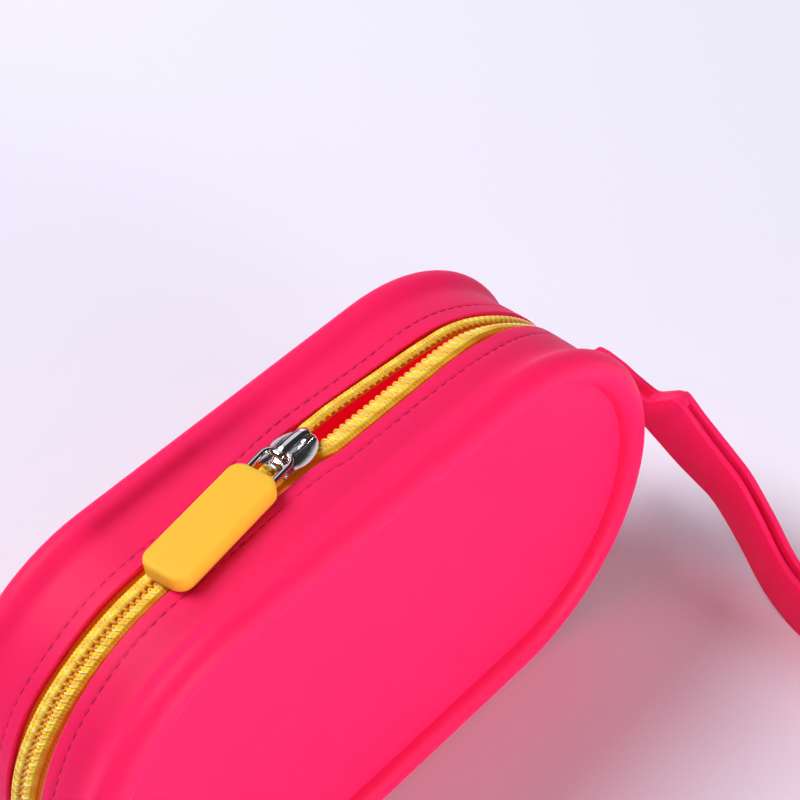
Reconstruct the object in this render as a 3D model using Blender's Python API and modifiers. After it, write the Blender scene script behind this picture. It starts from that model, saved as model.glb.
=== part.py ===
"""Silicone makeup bag: a moulded pill-shaped pouch with a coil zip along its top, a slider with a
moulded grip, and a wrist strap looped through the tab on one end.

The origin is the middle of the underside. +X runs along the bag towards the strap, -Y is the near
face and +Z is up. A place on the pill's rim is given as (run, y, n): run is the distance along the
top from its middle, and n is the height over the crests of the rim beads, negative inwards.
"""

import math

import bmesh
import bpy
from mathutils import Matrix, Vector
from mathutils.geometry import interpolate_bezier

# Pouch
END_RADIUS = 0.049
HALF_RUN = 0.0412
POUCH_WIDTH = 0.0514
WALL = 0.0020
BEAD_RADIUS = 0.0041
GUSSET_DROP = 0.0024
GUSSET_CROWN = 0.0003
COVE = 0.0046
CREASE_DEPTH = 0.0034
PANEL_CROWN = 0.0012
PANEL_RISE = 0.0200
STAND_HALF_WIDTH = 0.0060
END_STEPS = 15

# Slit for the zip
SLIT_TO_TAB = 0.0029
NEAR_LIP = 0.0043
NEAR_LIP_LEFT = 0.0015
NEAR_LIP_OPEN = 0.0012
NEAR_LIP_CLOSES = 0.00165
FAR_LIP = 0.0040
FAR_LIP_LEFT = 0.0012
FAR_LIP_BULGE = 0.0043
FAR_LIP_EASES = 0.0028
FAR_LIP_CLOSES = 0.00245

# Zip
FIT_GAP = 0.0003
CHAIN_LEFT = -0.00115
CHAIN_RETURN = 0.0026
CHAIN_AT_SLIDER = 0.0024
ROW_GAP = 0.0003
ROW_WIDTH = 0.0029
NEAR_ROW_OPEN_EXTRA = 0.0019
ROW_HEIGHT = 0.00165
COIL_PITCH = 0.0018
COIL_SIDES = 6
COIL_GROOVE = 0.22
OPEN_NEAR_EDGE = 0.0011
OPEN_GAP = 0.0035
EASED_GAP = 0.0010
TOP_END_SHIFT = 0.00175
TAPE_THICKNESS = 0.00045
TAPE_UNDER_LIP = 0.0070
TAPE_UNDER_ROW = 0.0009
TAPE_PAST_SLIT = 0.0055
STOP_LENGTH = 0.0028
STOP_HEIGHT = 0.0021
STOP_WIDTH = 0.0022
STOP_INSET = 0.0017

# Slider
SLIDER_Y = 0.0022
ZIP_YAW = math.radians(3.0)
SLIDER_NOSE = 0.0062
SLIDER_TAIL = 0.0060
SLIDER_HALF_WIDTH = 0.0051
SLIDER_TAIL_HALF_WIDTH = 0.0038
PRONG_NOTCH = 0.0014
TOP_PLATE = 0.0010
BOTTOM_PLATE = 0.0009
POST_START = 0.0029
POST_INSET = 0.0008
CROWN_WIDTH = 0.0028
CROWN_ROOF = 0.0008
CROWN_PLAY = 0.0004
CROWN_FRONT = 0.0050
CROWN_FOOT = 0.0011
CROWN_FRONT_FOOT = 0.0026

# Puller
WIRE_DIAMETER = 0.0013
LINK_HALF_WIDTH = 0.0034
LINK_X = -0.0018
LINK_SHIFT = -0.0009
LINK_CORNER = 0.0012
LINK_REACH = 0.0098
LINK_IN_GRIP = 0.0070
PULL_YAW = math.radians(5.0)
GRIP_LENGTH = 0.0320
GRIP_WIDTH = 0.0118
GRIP_THICKNESS = 0.0046
GRIP_CORNER = 0.0034
GRIP_EDGE = 0.0009
GRIP_CLEARANCE = 0.00035

# Strap tab on the end of the pouch
TAB_THICKNESS = 0.0034
TAB_TIP = 0.0142
TAB_RISE = 0.0022
TAB_BAR = 0.0032
TAB_SLOT = 0.0070
TAB_CORNER = 0.0015
TAB_EDGE = 0.0008

# Strap
STRAP_WIDTH = 0.0170
STRAP_THICKNESS = 0.0017
STRAP_GAP = 0.0017
STRAP_EDGE = 0.0004
NECK_HEIGHT = 0.0050
NECK_PLAY = 0.0005
TURN_Y = 0.0010
NECK_LENGTH = 0.0162
STRAP_REACH = 0.1400
LOOP_HALF_WIDTH = 0.0125

# Neck stations: share of the neck's way, share of the fall from the slot to the table, height of the band.
NECK_ROUTE = (
    (0.0, 0.0, NECK_HEIGHT),
    (0.320, 0.011, NECK_HEIGHT),
    (0.581, 0.044, NECK_HEIGHT),
    (0.785, 0.099, NECK_HEIGHT * 1.15),
    (0.907, 0.170, STRAP_WIDTH * 0.62),
    (1.0, 0.230, STRAP_WIDTH * 0.86),
)

# Middle line of the two layers after the neck: share of the reach to the side of the tab's bar,
# share of the way from the neck to the end of the reach, share of the fall to the table.
STRAP_ROUTE = (
    (0.0150, 0.0162, 0.252),
    (0.0243, 0.1050, 0.392),
    (0.0186, 0.1979, 0.584),
    (0.0071, 0.2706, 0.800),
    (-0.0214, 0.3546, 0.956),
    (-0.0486, 0.4475, 0.997),
    (-0.0657, 0.5477, 1.0),
    (-0.0729, 0.6607, 1.0),
    (-0.0714, 0.7738, 1.0),
    (-0.0643, 0.8869, 1.0),
    (-0.0543, 1.0, 1.0),
)
LOOP_STARTS = 0.5477

CREST_Z = 2 * END_RADIUS
SLIT_END_ANGLE = math.acos((TAB_RISE + SLIT_TO_TAB) / END_RADIUS)
SLIT_END = HALF_RUN + END_RADIUS * SLIT_END_ANGLE
ROW_END = SLIT_END - STOP_INSET - STOP_LENGTH - FIT_GAP
GUSSET_TOP = GUSSET_CROWN - GUSSET_DROP
TAPE_TOP = -(GUSSET_DROP + WALL + FIT_GAP)
ROW_BOTTOM = TAPE_TOP + FIT_GAP
PLATE_UNDERSIDE = GUSSET_TOP + FIT_GAP
PLATE_TOP = PLATE_UNDERSIDE + TOP_PLATE
LINK_N = GUSSET_TOP + GRIP_CLEARANCE + GRIP_THICKNESS / 2
BOTTOM_PLATE_N = TAPE_TOP - TAPE_THICKNESS - FIT_GAP - BOTTOM_PLATE / 2
TAB_TOP = END_RADIUS + TAB_RISE
TAB_TIP_X = HALF_RUN + END_RADIUS + TAB_TIP
SLOT_END_X = TAB_TIP_X - TAB_BAR
SLOT_HEIGHT = NECK_HEIGHT + 2 * NECK_PLAY
SLOT_MIDDLE_Z = TAB_TOP - TAB_BAR - SLOT_HEIGHT / 2
BAR_MIDDLE_X = TAB_TIP_X - TAB_BAR / 2
NECK_HALF_SPACING = TAB_BAR / 2 + NECK_PLAY + STRAP_THICKNESS / 2
LAYER_HALF_SPACING = (STRAP_THICKNESS + STRAP_GAP) / 2


def clear_scene():
    for obj in list(bpy.data.objects):
        bpy.data.objects.remove(obj, do_unlink=True)


def make_collection(name):
    collection = bpy.data.collections.new(name)
    bpy.context.scene.collection.children.link(collection)
    return collection


def make_material(name, colour, roughness, metallic=0.0):
    material = bpy.data.materials.new(name)
    material.use_nodes = True
    shader = material.node_tree.nodes["Principled BSDF"]
    shader.inputs["Base Color"].default_value = (*colour, 1.0)
    shader.inputs["Roughness"].default_value = roughness
    shader.inputs["Metallic"].default_value = metallic
    material.diffuse_color = (*colour, 1.0)
    return material


def finish_part(name, bm, material, collection):
    """Turns a bmesh into an object of its collection, with its faces pointing out."""
    bmesh.ops.recalc_face_normals(bm, faces=bm.faces)
    mesh = bpy.data.meshes.new(name)
    bm.to_mesh(mesh)
    bm.free()
    mesh.shade_smooth()
    mesh.set_sharp_from_angle(angle=math.radians(40))
    if material:
        mesh.materials.append(material)
    obj = bpy.data.objects.new(name, mesh)
    collection.objects.link(obj)
    return obj


def add_boolean(obj, other, operation):
    """Joins to the object, or cuts from it, another one that is then only a helper."""
    other.hide_render = True
    other.display_type = "WIRE"
    modifier = obj.modifiers.new(operation.title(), "BOOLEAN")
    modifier.operation = operation
    modifier.solver = "EXACT"
    modifier.object = other


def mesh_from_curve(curve_obj, material, collection):
    """Replaces a curve object by a mesh object with its caps welded on."""
    bpy.context.view_layer.update()
    graph = bpy.context.evaluated_depsgraph_get()
    mesh = bpy.data.meshes.new_from_object(curve_obj.evaluated_get(graph))
    place = curve_obj.matrix_world.copy()
    name = curve_obj.name
    bpy.data.objects.remove(curve_obj, do_unlink=True)
    bm = bmesh.new()
    bm.from_mesh(mesh)
    bmesh.ops.remove_doubles(bm, verts=bm.verts, dist=1e-6)
    obj = finish_part(name, bm, material, collection)
    obj.matrix_world = place
    return obj


def flat_piece(name, points, thickness, edge, place, material, collection):
    """A flat piece with its outline in the XY plane of its place, and rounded edges all round."""
    curve = bpy.data.curves.new(name, "CURVE")
    curve.dimensions = "2D"
    curve.fill_mode = "BOTH"
    curve.extrude = thickness / 2 - edge
    curve.bevel_depth = edge
    curve.bevel_resolution = 1
    curve.offset = -edge
    spline = curve.splines.new("POLY")
    spline.points.add(len(points) - 1)
    for point, (x, y) in zip(spline.points, points):
        point.co = (x, y, 0.0, 1.0)
    spline.use_cyclic_u = True
    obj = bpy.data.objects.new(name, curve)
    collection.objects.link(obj)
    obj.matrix_world = place
    return mesh_from_curve(obj, material, collection)


def rounded_rectangle(low_x, low_y, high_x, high_y, radius, steps=4):
    """Points of a rectangle with round corners, anticlockwise."""
    corners = (
        (high_x - radius, low_y + radius, -90),
        (high_x - radius, high_y - radius, 0),
        (low_x + radius, high_y - radius, 90),
        (low_x + radius, low_y + radius, 180),
    )
    points = []
    for x, y, start in corners:
        for step in range(steps + 1):
            angle = math.radians(start + 90 * step / steps)
            points.append((x + radius * math.cos(angle), y + radius * math.sin(angle)))
    return points


def smooth_step(value):
    t = min(1.0, max(0.0, value))
    return t * t * (3 - 2 * t)


def mix(a, b, t):
    return a + (b - a) * t


def on_rim(run, y, n):
    """World place of a point on the pill's rim."""
    over = abs(run) - HALF_RUN
    if over <= 0:
        return Vector((run, y, CREST_Z + n))
    angle = over / END_RADIUS
    radius = END_RADIUS + n
    x = HALF_RUN + radius * math.sin(angle)
    return Vector((math.copysign(x, run), y, END_RADIUS + radius * math.cos(angle)))


def rim_runs(end, extra=()):
    """Stations along the rim from -end to end, at the same angles as the pouch's own facets."""
    turn = END_RADIUS * math.pi / END_STEPS
    round_part = [HALF_RUN + turn * step for step in range(END_STEPS) if HALF_RUN + turn * step < end - 1e-5]
    straight = [HALF_RUN * step / 7 for step in range(7)]
    ahead = sorted({*straight, *round_part, *extra, end})
    return [-run for run in reversed(ahead[1:])] + ahead


def skin(sections, closed=False):
    """One skin over a row of rings with the same number of points, its two ends capped or joined."""
    bm = bmesh.new()
    rings = [[bm.verts.new(point) for point in section] for section in sections]
    pairs = list(zip(rings, rings[1:]))
    if closed:
        pairs.append((rings[-1], rings[0]))
    else:
        bm.faces.new(rings[0])
        bm.faces.new(rings[-1])
    for ring, following in pairs:
        for index in range(len(ring)):
            nxt = (index + 1) % len(ring)
            bm.faces.new((ring[index], ring[nxt], following[nxt], following[index]))
    return bm


# Pouch


def bead_point(angle):
    """A point of the rim bead, by its angle in degrees from the crest towards the face."""
    turn = math.radians(angle)
    y = POUCH_WIDTH / 2 - BEAD_RADIUS + BEAD_RADIUS * math.sin(turn)
    return y, BEAD_RADIUS * (math.cos(turn) - 1)


def cove_foot():
    return bead_point(-42)[0] - COVE


def half_profile():
    """The pouch's section from the middle of the gusset over the bead to the face, as (y, n)."""
    foot_y = cove_foot()
    points = []
    for y in (0.0, STAND_HALF_WIDTH, mix(STAND_HALF_WIDTH, foot_y, 0.5), foot_y):
        points.append((y, -GUSSET_DROP + GUSSET_CROWN * (1 - (y / foot_y) ** 2)))
    foot = Vector((foot_y, -GUSSET_DROP, 0))
    rise = Vector((*bead_point(-42), 0))
    slope = Vector((math.cos(math.radians(42)), math.sin(math.radians(42)), 0))
    pull = COVE * 0.38
    cove = interpolate_bezier(foot, foot + Vector((pull, 0, 0)), rise - slope * pull, rise, 4)
    points.extend((point.x, point.y) for point in cove[1:])
    points.extend(bead_point(angle) for angle in (-20, 0, 28, 56, 84, 112, 140))
    crease_y = POUCH_WIDTH / 2 - CREASE_DEPTH
    crease_n = -2.05 * BEAD_RADIUS
    points.append((crease_y, crease_n))
    for share in (0.12, 0.45, 1.0):
        rise_here = PANEL_CROWN * (1 - (1 - share) ** 2)
        points.append((crease_y + rise_here, crease_n - PANEL_RISE * share))
    return points


def pouch_skin():
    """The pouch's closed outer skin: its section swept round the pill, then the two faces filled."""
    half = half_profile()
    section = [(-y, n) for y, n in reversed(half[1:])] + half
    bm = bmesh.new()
    verts = [bm.verts.new((HALF_RUN, y, CREST_Z + n)) for y, n in section]
    edges = [bm.edges.new(pair) for pair in zip(verts, verts[1:])]
    for side in (1, -1):
        spun = bmesh.ops.spin(
            bm,
            geom=edges,
            cent=(side * HALF_RUN, 0, END_RADIUS),
            axis=(0, 1, 0),
            angle=math.pi,
            steps=END_STEPS,
        )
        last = [item for item in spun["geom_last"] if isinstance(item, bmesh.types.BMEdge)]
        run = bmesh.ops.extrude_edge_only(bm, edges=last)["geom"]
        moved = [item for item in run if isinstance(item, bmesh.types.BMVert)]
        bmesh.ops.translate(bm, verts=moved, vec=(-2 * side * HALF_RUN, 0, 0))
        edges = [item for item in run if isinstance(item, bmesh.types.BMEdge)]
    bmesh.ops.remove_doubles(bm, verts=bm.verts, dist=1e-6)
    rims = [edge for edge in bm.edges if edge.is_boundary]
    bmesh.ops.holes_fill(bm, edges=rims, sides=0)
    return bm


def crown_underside(bm):
    """Fills the gusset out to the bead crests along the underside, so the pouch stands on a flat strip."""
    foot_y = cove_foot()
    for vert in bm.verts:
        y = abs(vert.co.y)
        if y >= foot_y:
            continue
        beyond = max(0.0, abs(vert.co.x) - HALF_RUN)
        outward = Vector((math.copysign(beyond, vert.co.x), 0, vert.co.z - END_RADIUS)).normalized()
        drop = GUSSET_DROP - GUSSET_CROWN * (1 - (y / foot_y) ** 2)
        across = 1 - smooth_step((y - STAND_HALF_WIDTH) / (foot_y - STAND_HALF_WIDTH))
        vert.co += outward * drop * smooth_step(-outward.z) * across


def near_lip(run):
    """The near lip comes closest at the slider and at the top end."""
    if run < 0:
        return -NEAR_LIP - NEAR_LIP_LEFT * smooth_step((-run - 0.008) / 0.036)
    closing = NEAR_LIP_CLOSES * smooth_step((run - 0.050) / 0.030)
    return -NEAR_LIP - NEAR_LIP_OPEN * smooth_step(run / 0.008) + closing


def far_lip(run):
    """The far lip stands off where the zip is open, and closes in again towards the top end."""
    if run < -HALF_RUN:
        return FAR_LIP + FAR_LIP_LEFT * smooth_step((-run - 0.066) / 0.020)
    if run < 0.008:
        return FAR_LIP + FAR_LIP_BULGE * smooth_step((run + HALF_RUN) / (HALF_RUN + 0.008))
    eased = FAR_LIP_EASES * min(1.0, (run - 0.008) / 0.050)
    return FAR_LIP + FAR_LIP_BULGE - eased - FAR_LIP_CLOSES * smooth_step((run - 0.052) / 0.028)


def slit_cutter(collection):
    """A curved block that takes the zip's slit out of the top and both shoulders of the pouch.

    Its stations lie between the pouch's facet edges, so that the two never meet edge on edge.
    """
    deep = TAPE_TOP - 2 * FIT_GAP
    round_length = 0.0042
    turn_length = END_RADIUS * math.pi / END_STEPS
    ahead = [HALF_RUN * (step + 0.5) / 7 for step in range(7)]
    ahead += [HALF_RUN + turn_length * (step + 0.5) for step in range(END_STEPS)]
    ahead = [run for run in ahead if run < SLIT_END - round_length - turn_length / 8]
    ahead += [SLIT_END - share * round_length for share in (1.0, 0.62, 0.32, 0.12, 0.0)]
    sections = []
    for run in [-run for run in reversed(ahead)] + ahead:
        left = min(1.0, (SLIT_END - abs(run)) / round_length)
        narrowing = mix(0.3, 1.0, math.sqrt(1 - (1 - left) ** 2))
        low_y = near_lip(run) * narrowing
        high_y = far_lip(run) * narrowing
        sections.append(
            [
                on_rim(run, low_y, deep),
                on_rim(run, high_y, deep),
                on_rim(run, high_y, BEAD_RADIUS),
                on_rim(run, low_y, BEAD_RADIUS),
            ]
        )
    return finish_part("slit_cutter", skin(sections), None, collection)


def strap_tab(collection):
    """The tab on the end of the pouch: a frame across Y, rooted in the wall, that the strap's neck goes through."""
    low_z = SLOT_MIDDLE_Z - SLOT_HEIGHT / 2 - TAB_BAR
    root_radius = END_RADIUS + GUSSET_TOP - 0.7 * WALL
    tip_side = SLOT_END_X - TAB_SLOT / 2
    around = rounded_rectangle(HALF_RUN, low_z, TAB_TIP_X, TAB_TOP, TAB_CORNER, 3)
    slot = rounded_rectangle(
        SLOT_END_X - TAB_SLOT,
        SLOT_MIDDLE_Z - SLOT_HEIGHT / 2,
        SLOT_END_X,
        SLOT_MIDDLE_Z + SLOT_HEIGHT / 2,
        TAB_EDGE,
        3,
    )
    sections = []
    for (x, z), (slot_x, slot_z) in zip(around, slot):
        if x < tip_side:
            z = min(max(slot_z + math.copysign(TAB_BAR, slot_z - SLOT_MIDDLE_Z), low_z), TAB_TOP)
            x = HALF_RUN + math.sqrt(root_radius**2 - (z - END_RADIUS) ** 2)
        outer = Vector((x, 0, z))
        inner = Vector((slot_x, 0, slot_z))
        step = (inner - outer).normalized() * TAB_EDGE
        section = []
        for point, depth in (
            (outer, TAB_EDGE - TAB_THICKNESS / 2),
            (outer, TAB_THICKNESS / 2 - TAB_EDGE),
            (outer + step, TAB_THICKNESS / 2),
            (inner - step, TAB_THICKNESS / 2),
            (inner, TAB_THICKNESS / 2 - TAB_EDGE),
            (inner, TAB_EDGE - TAB_THICKNESS / 2),
            (inner - step, -TAB_THICKNESS / 2),
            (outer + step, -TAB_THICKNESS / 2),
        ):
            section.append(point + Vector((0, depth, 0)))
        sections.append(section)
    return finish_part("strap_tab", skin(sections, closed=True), None, collection)


def build_pouch(parts, cutters, silicone):
    bm = pouch_skin()
    crown_underside(bm)
    shell = finish_part("pouch_shell", bm, silicone, parts)
    wall = shell.modifiers.new("Wall", "SOLIDIFY")
    wall.thickness = WALL
    wall.offset = -1
    wall.use_even_offset = True
    add_boolean(shell, slit_cutter(cutters), "DIFFERENCE")
    add_boolean(shell, strap_tab(cutters), "UNION")
    return shell


# Zip


def chain_middle(run):
    """Middle of the closed chain, which wanders from one lip towards the other on its way to the slider."""
    if run < -0.050:
        return CHAIN_LEFT + CHAIN_RETURN * smooth_step((-run - 0.056) / 0.054)
    return mix(CHAIN_LEFT, CHAIN_AT_SLIDER, smooth_step((run + 0.050) / 0.054))


def inner_edge(run, side):
    """Inner edge of the near row of coil (side -1) or of the far row (side 1)."""
    closed = chain_middle(run) + side * ROW_GAP / 2
    if run < 0:
        return closed
    closing = smooth_step((run - 0.050) / 0.028)
    gap = mix(OPEN_GAP, EASED_GAP, min(1.0, max(0.0, (run - 0.016) / 0.030)))
    opened = OPEN_NEAR_EDGE - TOP_END_SHIFT * closing
    if side > 0:
        opened += mix(gap, ROW_GAP, closing)
    return mix(closed, opened, smooth_step(run / 0.009))


def row_width(run, side):
    """Width of a row. The near one lies flatter, so it looks wider, where the zip is open."""
    if side > 0:
        return ROW_WIDTH
    opened = smooth_step(run / 0.009) * (1 - smooth_step((run - 0.045) / 0.020))
    return ROW_WIDTH + NEAR_ROW_OPEN_EXTRA * opened


def build_tape(name, side, parts, fabric):
    """A flat tape under one lip. Its inner edge lies under the middle of its row of coil."""
    lip = far_lip if side > 0 else near_lip
    sections = []
    for run in rim_runs(SLIT_END + TAPE_PAST_SLIT, (0.003, 0.009, 0.014, 0.019, 0.055, 0.066)):
        inner = inner_edge(run, side) + side * TAPE_UNDER_ROW
        outer = lip(run) + side * TAPE_UNDER_LIP
        sections.append(
            [
                on_rim(run, inner, TAPE_TOP - TAPE_THICKNESS),
                on_rim(run, outer, TAPE_TOP - TAPE_THICKNESS),
                on_rim(run, outer, TAPE_TOP),
                on_rim(run, inner, TAPE_TOP),
            ]
        )
    return finish_part(name, skin(sections), fabric, parts)


def build_coil(name, side, parts, nylon):
    """One row of the coil: a ribbed tube with a rib for each turn of the coil."""
    sections = []
    turns = round(2 * ROW_END / COIL_PITCH)
    for index in range(2 * turns + 1):
        run = mix(-ROW_END, ROW_END, index / (2 * turns))
        width = row_width(run, side)
        middle = inner_edge(run, side) + side * width / 2
        shrink = 1 - COIL_GROOVE * (index % 2)
        ring = []
        for corner in range(COIL_SIDES):
            angle = 2 * math.pi * (corner + 0.5) / COIL_SIDES
            y = middle + shrink * width / 2 * math.cos(angle) / math.cos(math.pi / COIL_SIDES)
            n = ROW_BOTTOM + ROW_HEIGHT / 2 * (1 + shrink * math.sin(angle))
            ring.append(on_rim(run, y, n))
        sections.append(ring)
    return finish_part(name, skin(sections), nylon, parts)


def build_stop(name, direction, low_y, high_y, parts, metal):
    """A clip pressed on the end of the chain, just inside the end of the slit."""
    edge = 0.25 * STOP_HEIGHT
    top = ROW_BOTTOM + STOP_HEIGHT
    sections = []
    for step in range(3):
        run = direction * (ROW_END + FIT_GAP + STOP_LENGTH * step / 2)
        sections.append(
            [
                on_rim(run, low_y, ROW_BOTTOM),
                on_rim(run, high_y, ROW_BOTTOM),
                on_rim(run, high_y, top - edge),
                on_rim(run, high_y - edge, top),
                on_rim(run, low_y + edge, top),
                on_rim(run, low_y, top - edge),
            ]
        )
    return finish_part(name, skin(sections), metal, parts)


def build_zip(parts, fabric, nylon, metal):
    for side, word in ((-1, "near"), (1, "far")):
        build_tape(word + "_tape", side, parts, fabric)
        build_coil(word + "_coil", side, parts, nylon)
    near_edge = inner_edge(ROW_END, -1)
    far_edge = inner_edge(ROW_END, 1)
    build_stop("near_top_stop", 1, near_edge - STOP_WIDTH, near_edge, parts, metal)
    build_stop("far_top_stop", 1, far_edge, far_edge + STOP_WIDTH, parts, metal)
    near_end = inner_edge(-ROW_END, -1) - STOP_WIDTH
    far_end = inner_edge(-ROW_END, 1) + STOP_WIDTH
    build_stop("bottom_stop", -1, near_end, far_end, parts, metal)


# Slider and puller


def slider_frame():
    """The slider's own axes, its origin over the middle of the bag at the crest height."""
    return Matrix.Translation((0, SLIDER_Y, CREST_Z)) @ Matrix.Rotation(ZIP_YAW, 4, "Z")


def pull_frame():
    """The puller's axes: Y is the bar through the crown, and the grip lies along -X."""
    return slider_frame() @ Matrix.Translation((LINK_X, LINK_SHIFT, LINK_N)) @ Matrix.Rotation(PULL_YAW, 4, "Z")


def plate_outline(share):
    """Outline of a slider plate: a round nose, wings, and two prongs with a notch between them."""
    wide = SLIDER_HALF_WIDTH * share
    tail = SLIDER_TAIL_HALF_WIDTH * share
    shoulder = 0.0014
    nose = []
    for step in range(9):
        angle = math.radians(-90 + 22.5 * step)
        nose.append((shoulder + (SLIDER_NOSE - shoulder) * math.cos(angle), wide * math.sin(angle)))
    far_side = [
        (-0.0018, wide * 0.94),
        (-SLIDER_TAIL * 0.78, mix(tail, wide, 0.3)),
        (-SLIDER_TAIL, tail * 0.9),
        (-SLIDER_TAIL, tail * 0.62),
        (-SLIDER_TAIL + PRONG_NOTCH, tail * 0.4),
    ]
    near_side = [(x, -y) for x, y in reversed(far_side)]
    return nose + far_side + near_side


def post_outline():
    """The wedge that parts the two rows, a fit gap clear of each."""
    to_slider = slider_frame().inverted()
    lines = {-1: [], 1: []}
    for step in range(4):
        x = mix(POST_START, SLIDER_NOSE - POST_INSET, step / 3)
        for side, line in lines.items():
            local = to_slider @ Vector((x, inner_edge(x, side) - side * FIT_GAP, CREST_Z))
            line.append((local.x, local.y))
    return lines[-1] + list(reversed(lines[1]))


def crown_outline():
    """Side view of the crown: an arch with a long front slope and a round rear end."""
    top = LINK_N - PLATE_TOP + WIRE_DIAMETER / 2 + CROWN_PLAY + CROWN_ROOF
    rear = LINK_X - WIRE_DIAMETER / 2 - CROWN_PLAY - CROWN_FOOT
    rooted = -TOP_PLATE / 2
    points = [
        (rear, rooted),
        (CROWN_FRONT, rooted),
        (CROWN_FRONT, 0.12 * top),
        (CROWN_FRONT - 0.0007, 0.62 * top),
        (CROWN_FRONT - 0.0018, 0.9 * top),
        (CROWN_FRONT - 0.0032, top),
    ]
    bend = 0.45 * top
    for step in range(4):
        angle = math.radians(90 + 30 * step)
        points.append((rear + bend + bend * math.cos(angle), top - bend + bend * math.sin(angle)))
    return points


def crown_tunnel():
    """The way through the crown, where the link's bar lies at the rear end."""
    half = WIRE_DIAMETER / 2 + CROWN_PLAY
    middle = LINK_N - PLATE_TOP
    low = -TOP_PLATE / 4
    return rounded_rectangle(LINK_X - half, low, CROWN_FRONT - CROWN_FRONT_FOOT, middle + half, 0.7 * half, 3)


def build_slider(parts, cutters, metal):
    """Two plates joined by the wedge, with the crown on top, as one casting."""
    frame = slider_frame()

    def at_height(n):
        return frame @ Matrix.Translation((0, 0, n))

    top_place = at_height(PLATE_UNDERSIDE + TOP_PLATE / 2)
    body = flat_piece("slider_body", plate_outline(1.0), TOP_PLATE, 0.0003, top_place, metal, parts)
    low_place = at_height(BOTTOM_PLATE_N)
    lower = flat_piece("slider_bottom", plate_outline(0.86), BOTTOM_PLATE, 0.00025, low_place, None, cutters)
    post_low = BOTTOM_PLATE_N
    post_high = PLATE_UNDERSIDE + TOP_PLATE / 2
    post_place = at_height((post_low + post_high) / 2)
    post = flat_piece("slider_post", post_outline(), post_high - post_low, 0.0, post_place, None, cutters)
    upright = at_height(PLATE_TOP) @ Matrix.Rotation(math.pi / 2, 4, "X")
    crown = flat_piece("slider_crown", crown_outline(), CROWN_WIDTH, 0.0003, upright, None, cutters)
    tunnel = flat_piece("crown_tunnel", crown_tunnel(), 2 * CROWN_WIDTH, 0.0, upright, None, cutters)
    add_boolean(crown, tunnel, "DIFFERENCE")
    for piece in (lower, post, crown):
        add_boolean(body, piece, "UNION")
    return body


def link_ring(name, wire_radius, material, collection):
    """The wire ring: one bar in the crown, two rods, and one bar inside the grip."""
    curve = bpy.data.curves.new(name, "CURVE")
    curve.dimensions = "3D"
    curve.bevel_depth = wire_radius
    curve.bevel_resolution = 2
    outline = rounded_rectangle(
        -LINK_REACH - LINK_IN_GRIP, -LINK_HALF_WIDTH, 0.0, LINK_HALF_WIDTH, LINK_CORNER, 3
    )
    spline = curve.splines.new("POLY")
    spline.points.add(len(outline) - 1)
    for point, (x, y) in zip(spline.points, outline):
        point.co = (x, y, 0.0, 1.0)
    spline.use_cyclic_u = True
    obj = bpy.data.objects.new(name, curve)
    collection.objects.link(obj)
    obj.matrix_world = pull_frame()
    return mesh_from_curve(obj, material, collection)


def build_puller(parts, cutters, silicone, metal):
    link = link_ring("pull_link", WIRE_DIAMETER / 2, metal, parts)
    outline = rounded_rectangle(
        -LINK_REACH - GRIP_LENGTH, -GRIP_WIDTH / 2, -LINK_REACH, GRIP_WIDTH / 2, GRIP_CORNER, 5
    )
    grip = flat_piece("pull_grip", outline, GRIP_THICKNESS, GRIP_EDGE, pull_frame(), silicone, parts)
    cavity = link_ring("grip_cavity", WIRE_DIAMETER / 2 + FIT_GAP, None, cutters)
    add_boolean(grip, cavity, "DIFFERENCE")
    return link, grip


# Strap


def strap_stations():
    """(middle point, half the spacing of the two layers, height of the band, its up) down the strap."""
    floor_z = STRAP_WIDTH / 2
    route = []
    for aside, way, fall in STRAP_ROUTE:
        x = BAR_MIDDLE_X + STRAP_REACH * aside
        route.append(Vector((x, -mix(NECK_LENGTH, STRAP_REACH, way), mix(SLOT_MIDDLE_Z, floor_z, fall))))
    rows = []
    for index, point in enumerate(route):
        rows.append(point)
        if index + 1 < len(route):
            before = route[max(0, index - 1)]
            after = route[index + 1]
            beyond = route[min(len(route) - 1, index + 2)]
            between = (point + after) * 0.5625 - (before + beyond) * 0.0625
            between.z = max(between.z, floor_z)
            rows.append(between)
    stations = []
    for way, fall, height in NECK_ROUTE:
        share = smooth_step(way)
        y = mix(TURN_Y, -NECK_LENGTH, way)
        middle = Vector((mix(BAR_MIDDLE_X, route[0].x, share), y, mix(SLOT_MIDDLE_Z, floor_z, fall)))
        up = Vector((0, 0, 1)).lerp(upward(rows[1] - rows[0]), share).normalized()
        stations.append((middle, mix(NECK_HALF_SPACING, LAYER_HALF_SPACING, share), height, up))
    loop_y = -mix(NECK_LENGTH, STRAP_REACH, LOOP_STARTS)
    for index, point in enumerate(rows):
        opened = (loop_y - point.y) / (loop_y + STRAP_REACH)
        swell = math.sin(math.pi * 0.62 * opened) ** 1.4 if opened > 0 else 0.0
        half = mix(LAYER_HALF_SPACING, LOOP_HALF_WIDTH, swell)
        along = rows[min(len(rows) - 1, index + 1)] - rows[max(0, index - 1)]
        stations.append((point, half, STRAP_WIDTH, upward(along)))
    return stations


def upward(along):
    """The direction square to a line that points most nearly up."""
    side = along.cross(Vector((0, 0, 1)))
    return side.cross(along).normalized()


def turn(station, ahead, steps):
    """Points round one end of the strap, from one layer to the other."""
    centre, radius, height, up = station
    across = Vector((-ahead.y, ahead.x, 0))
    points = []
    for step in range(1, steps):
        angle = math.pi * step / steps
        points.append((centre + (across * math.cos(angle) + ahead * math.sin(angle)) * radius, height, up))
    return points


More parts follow.
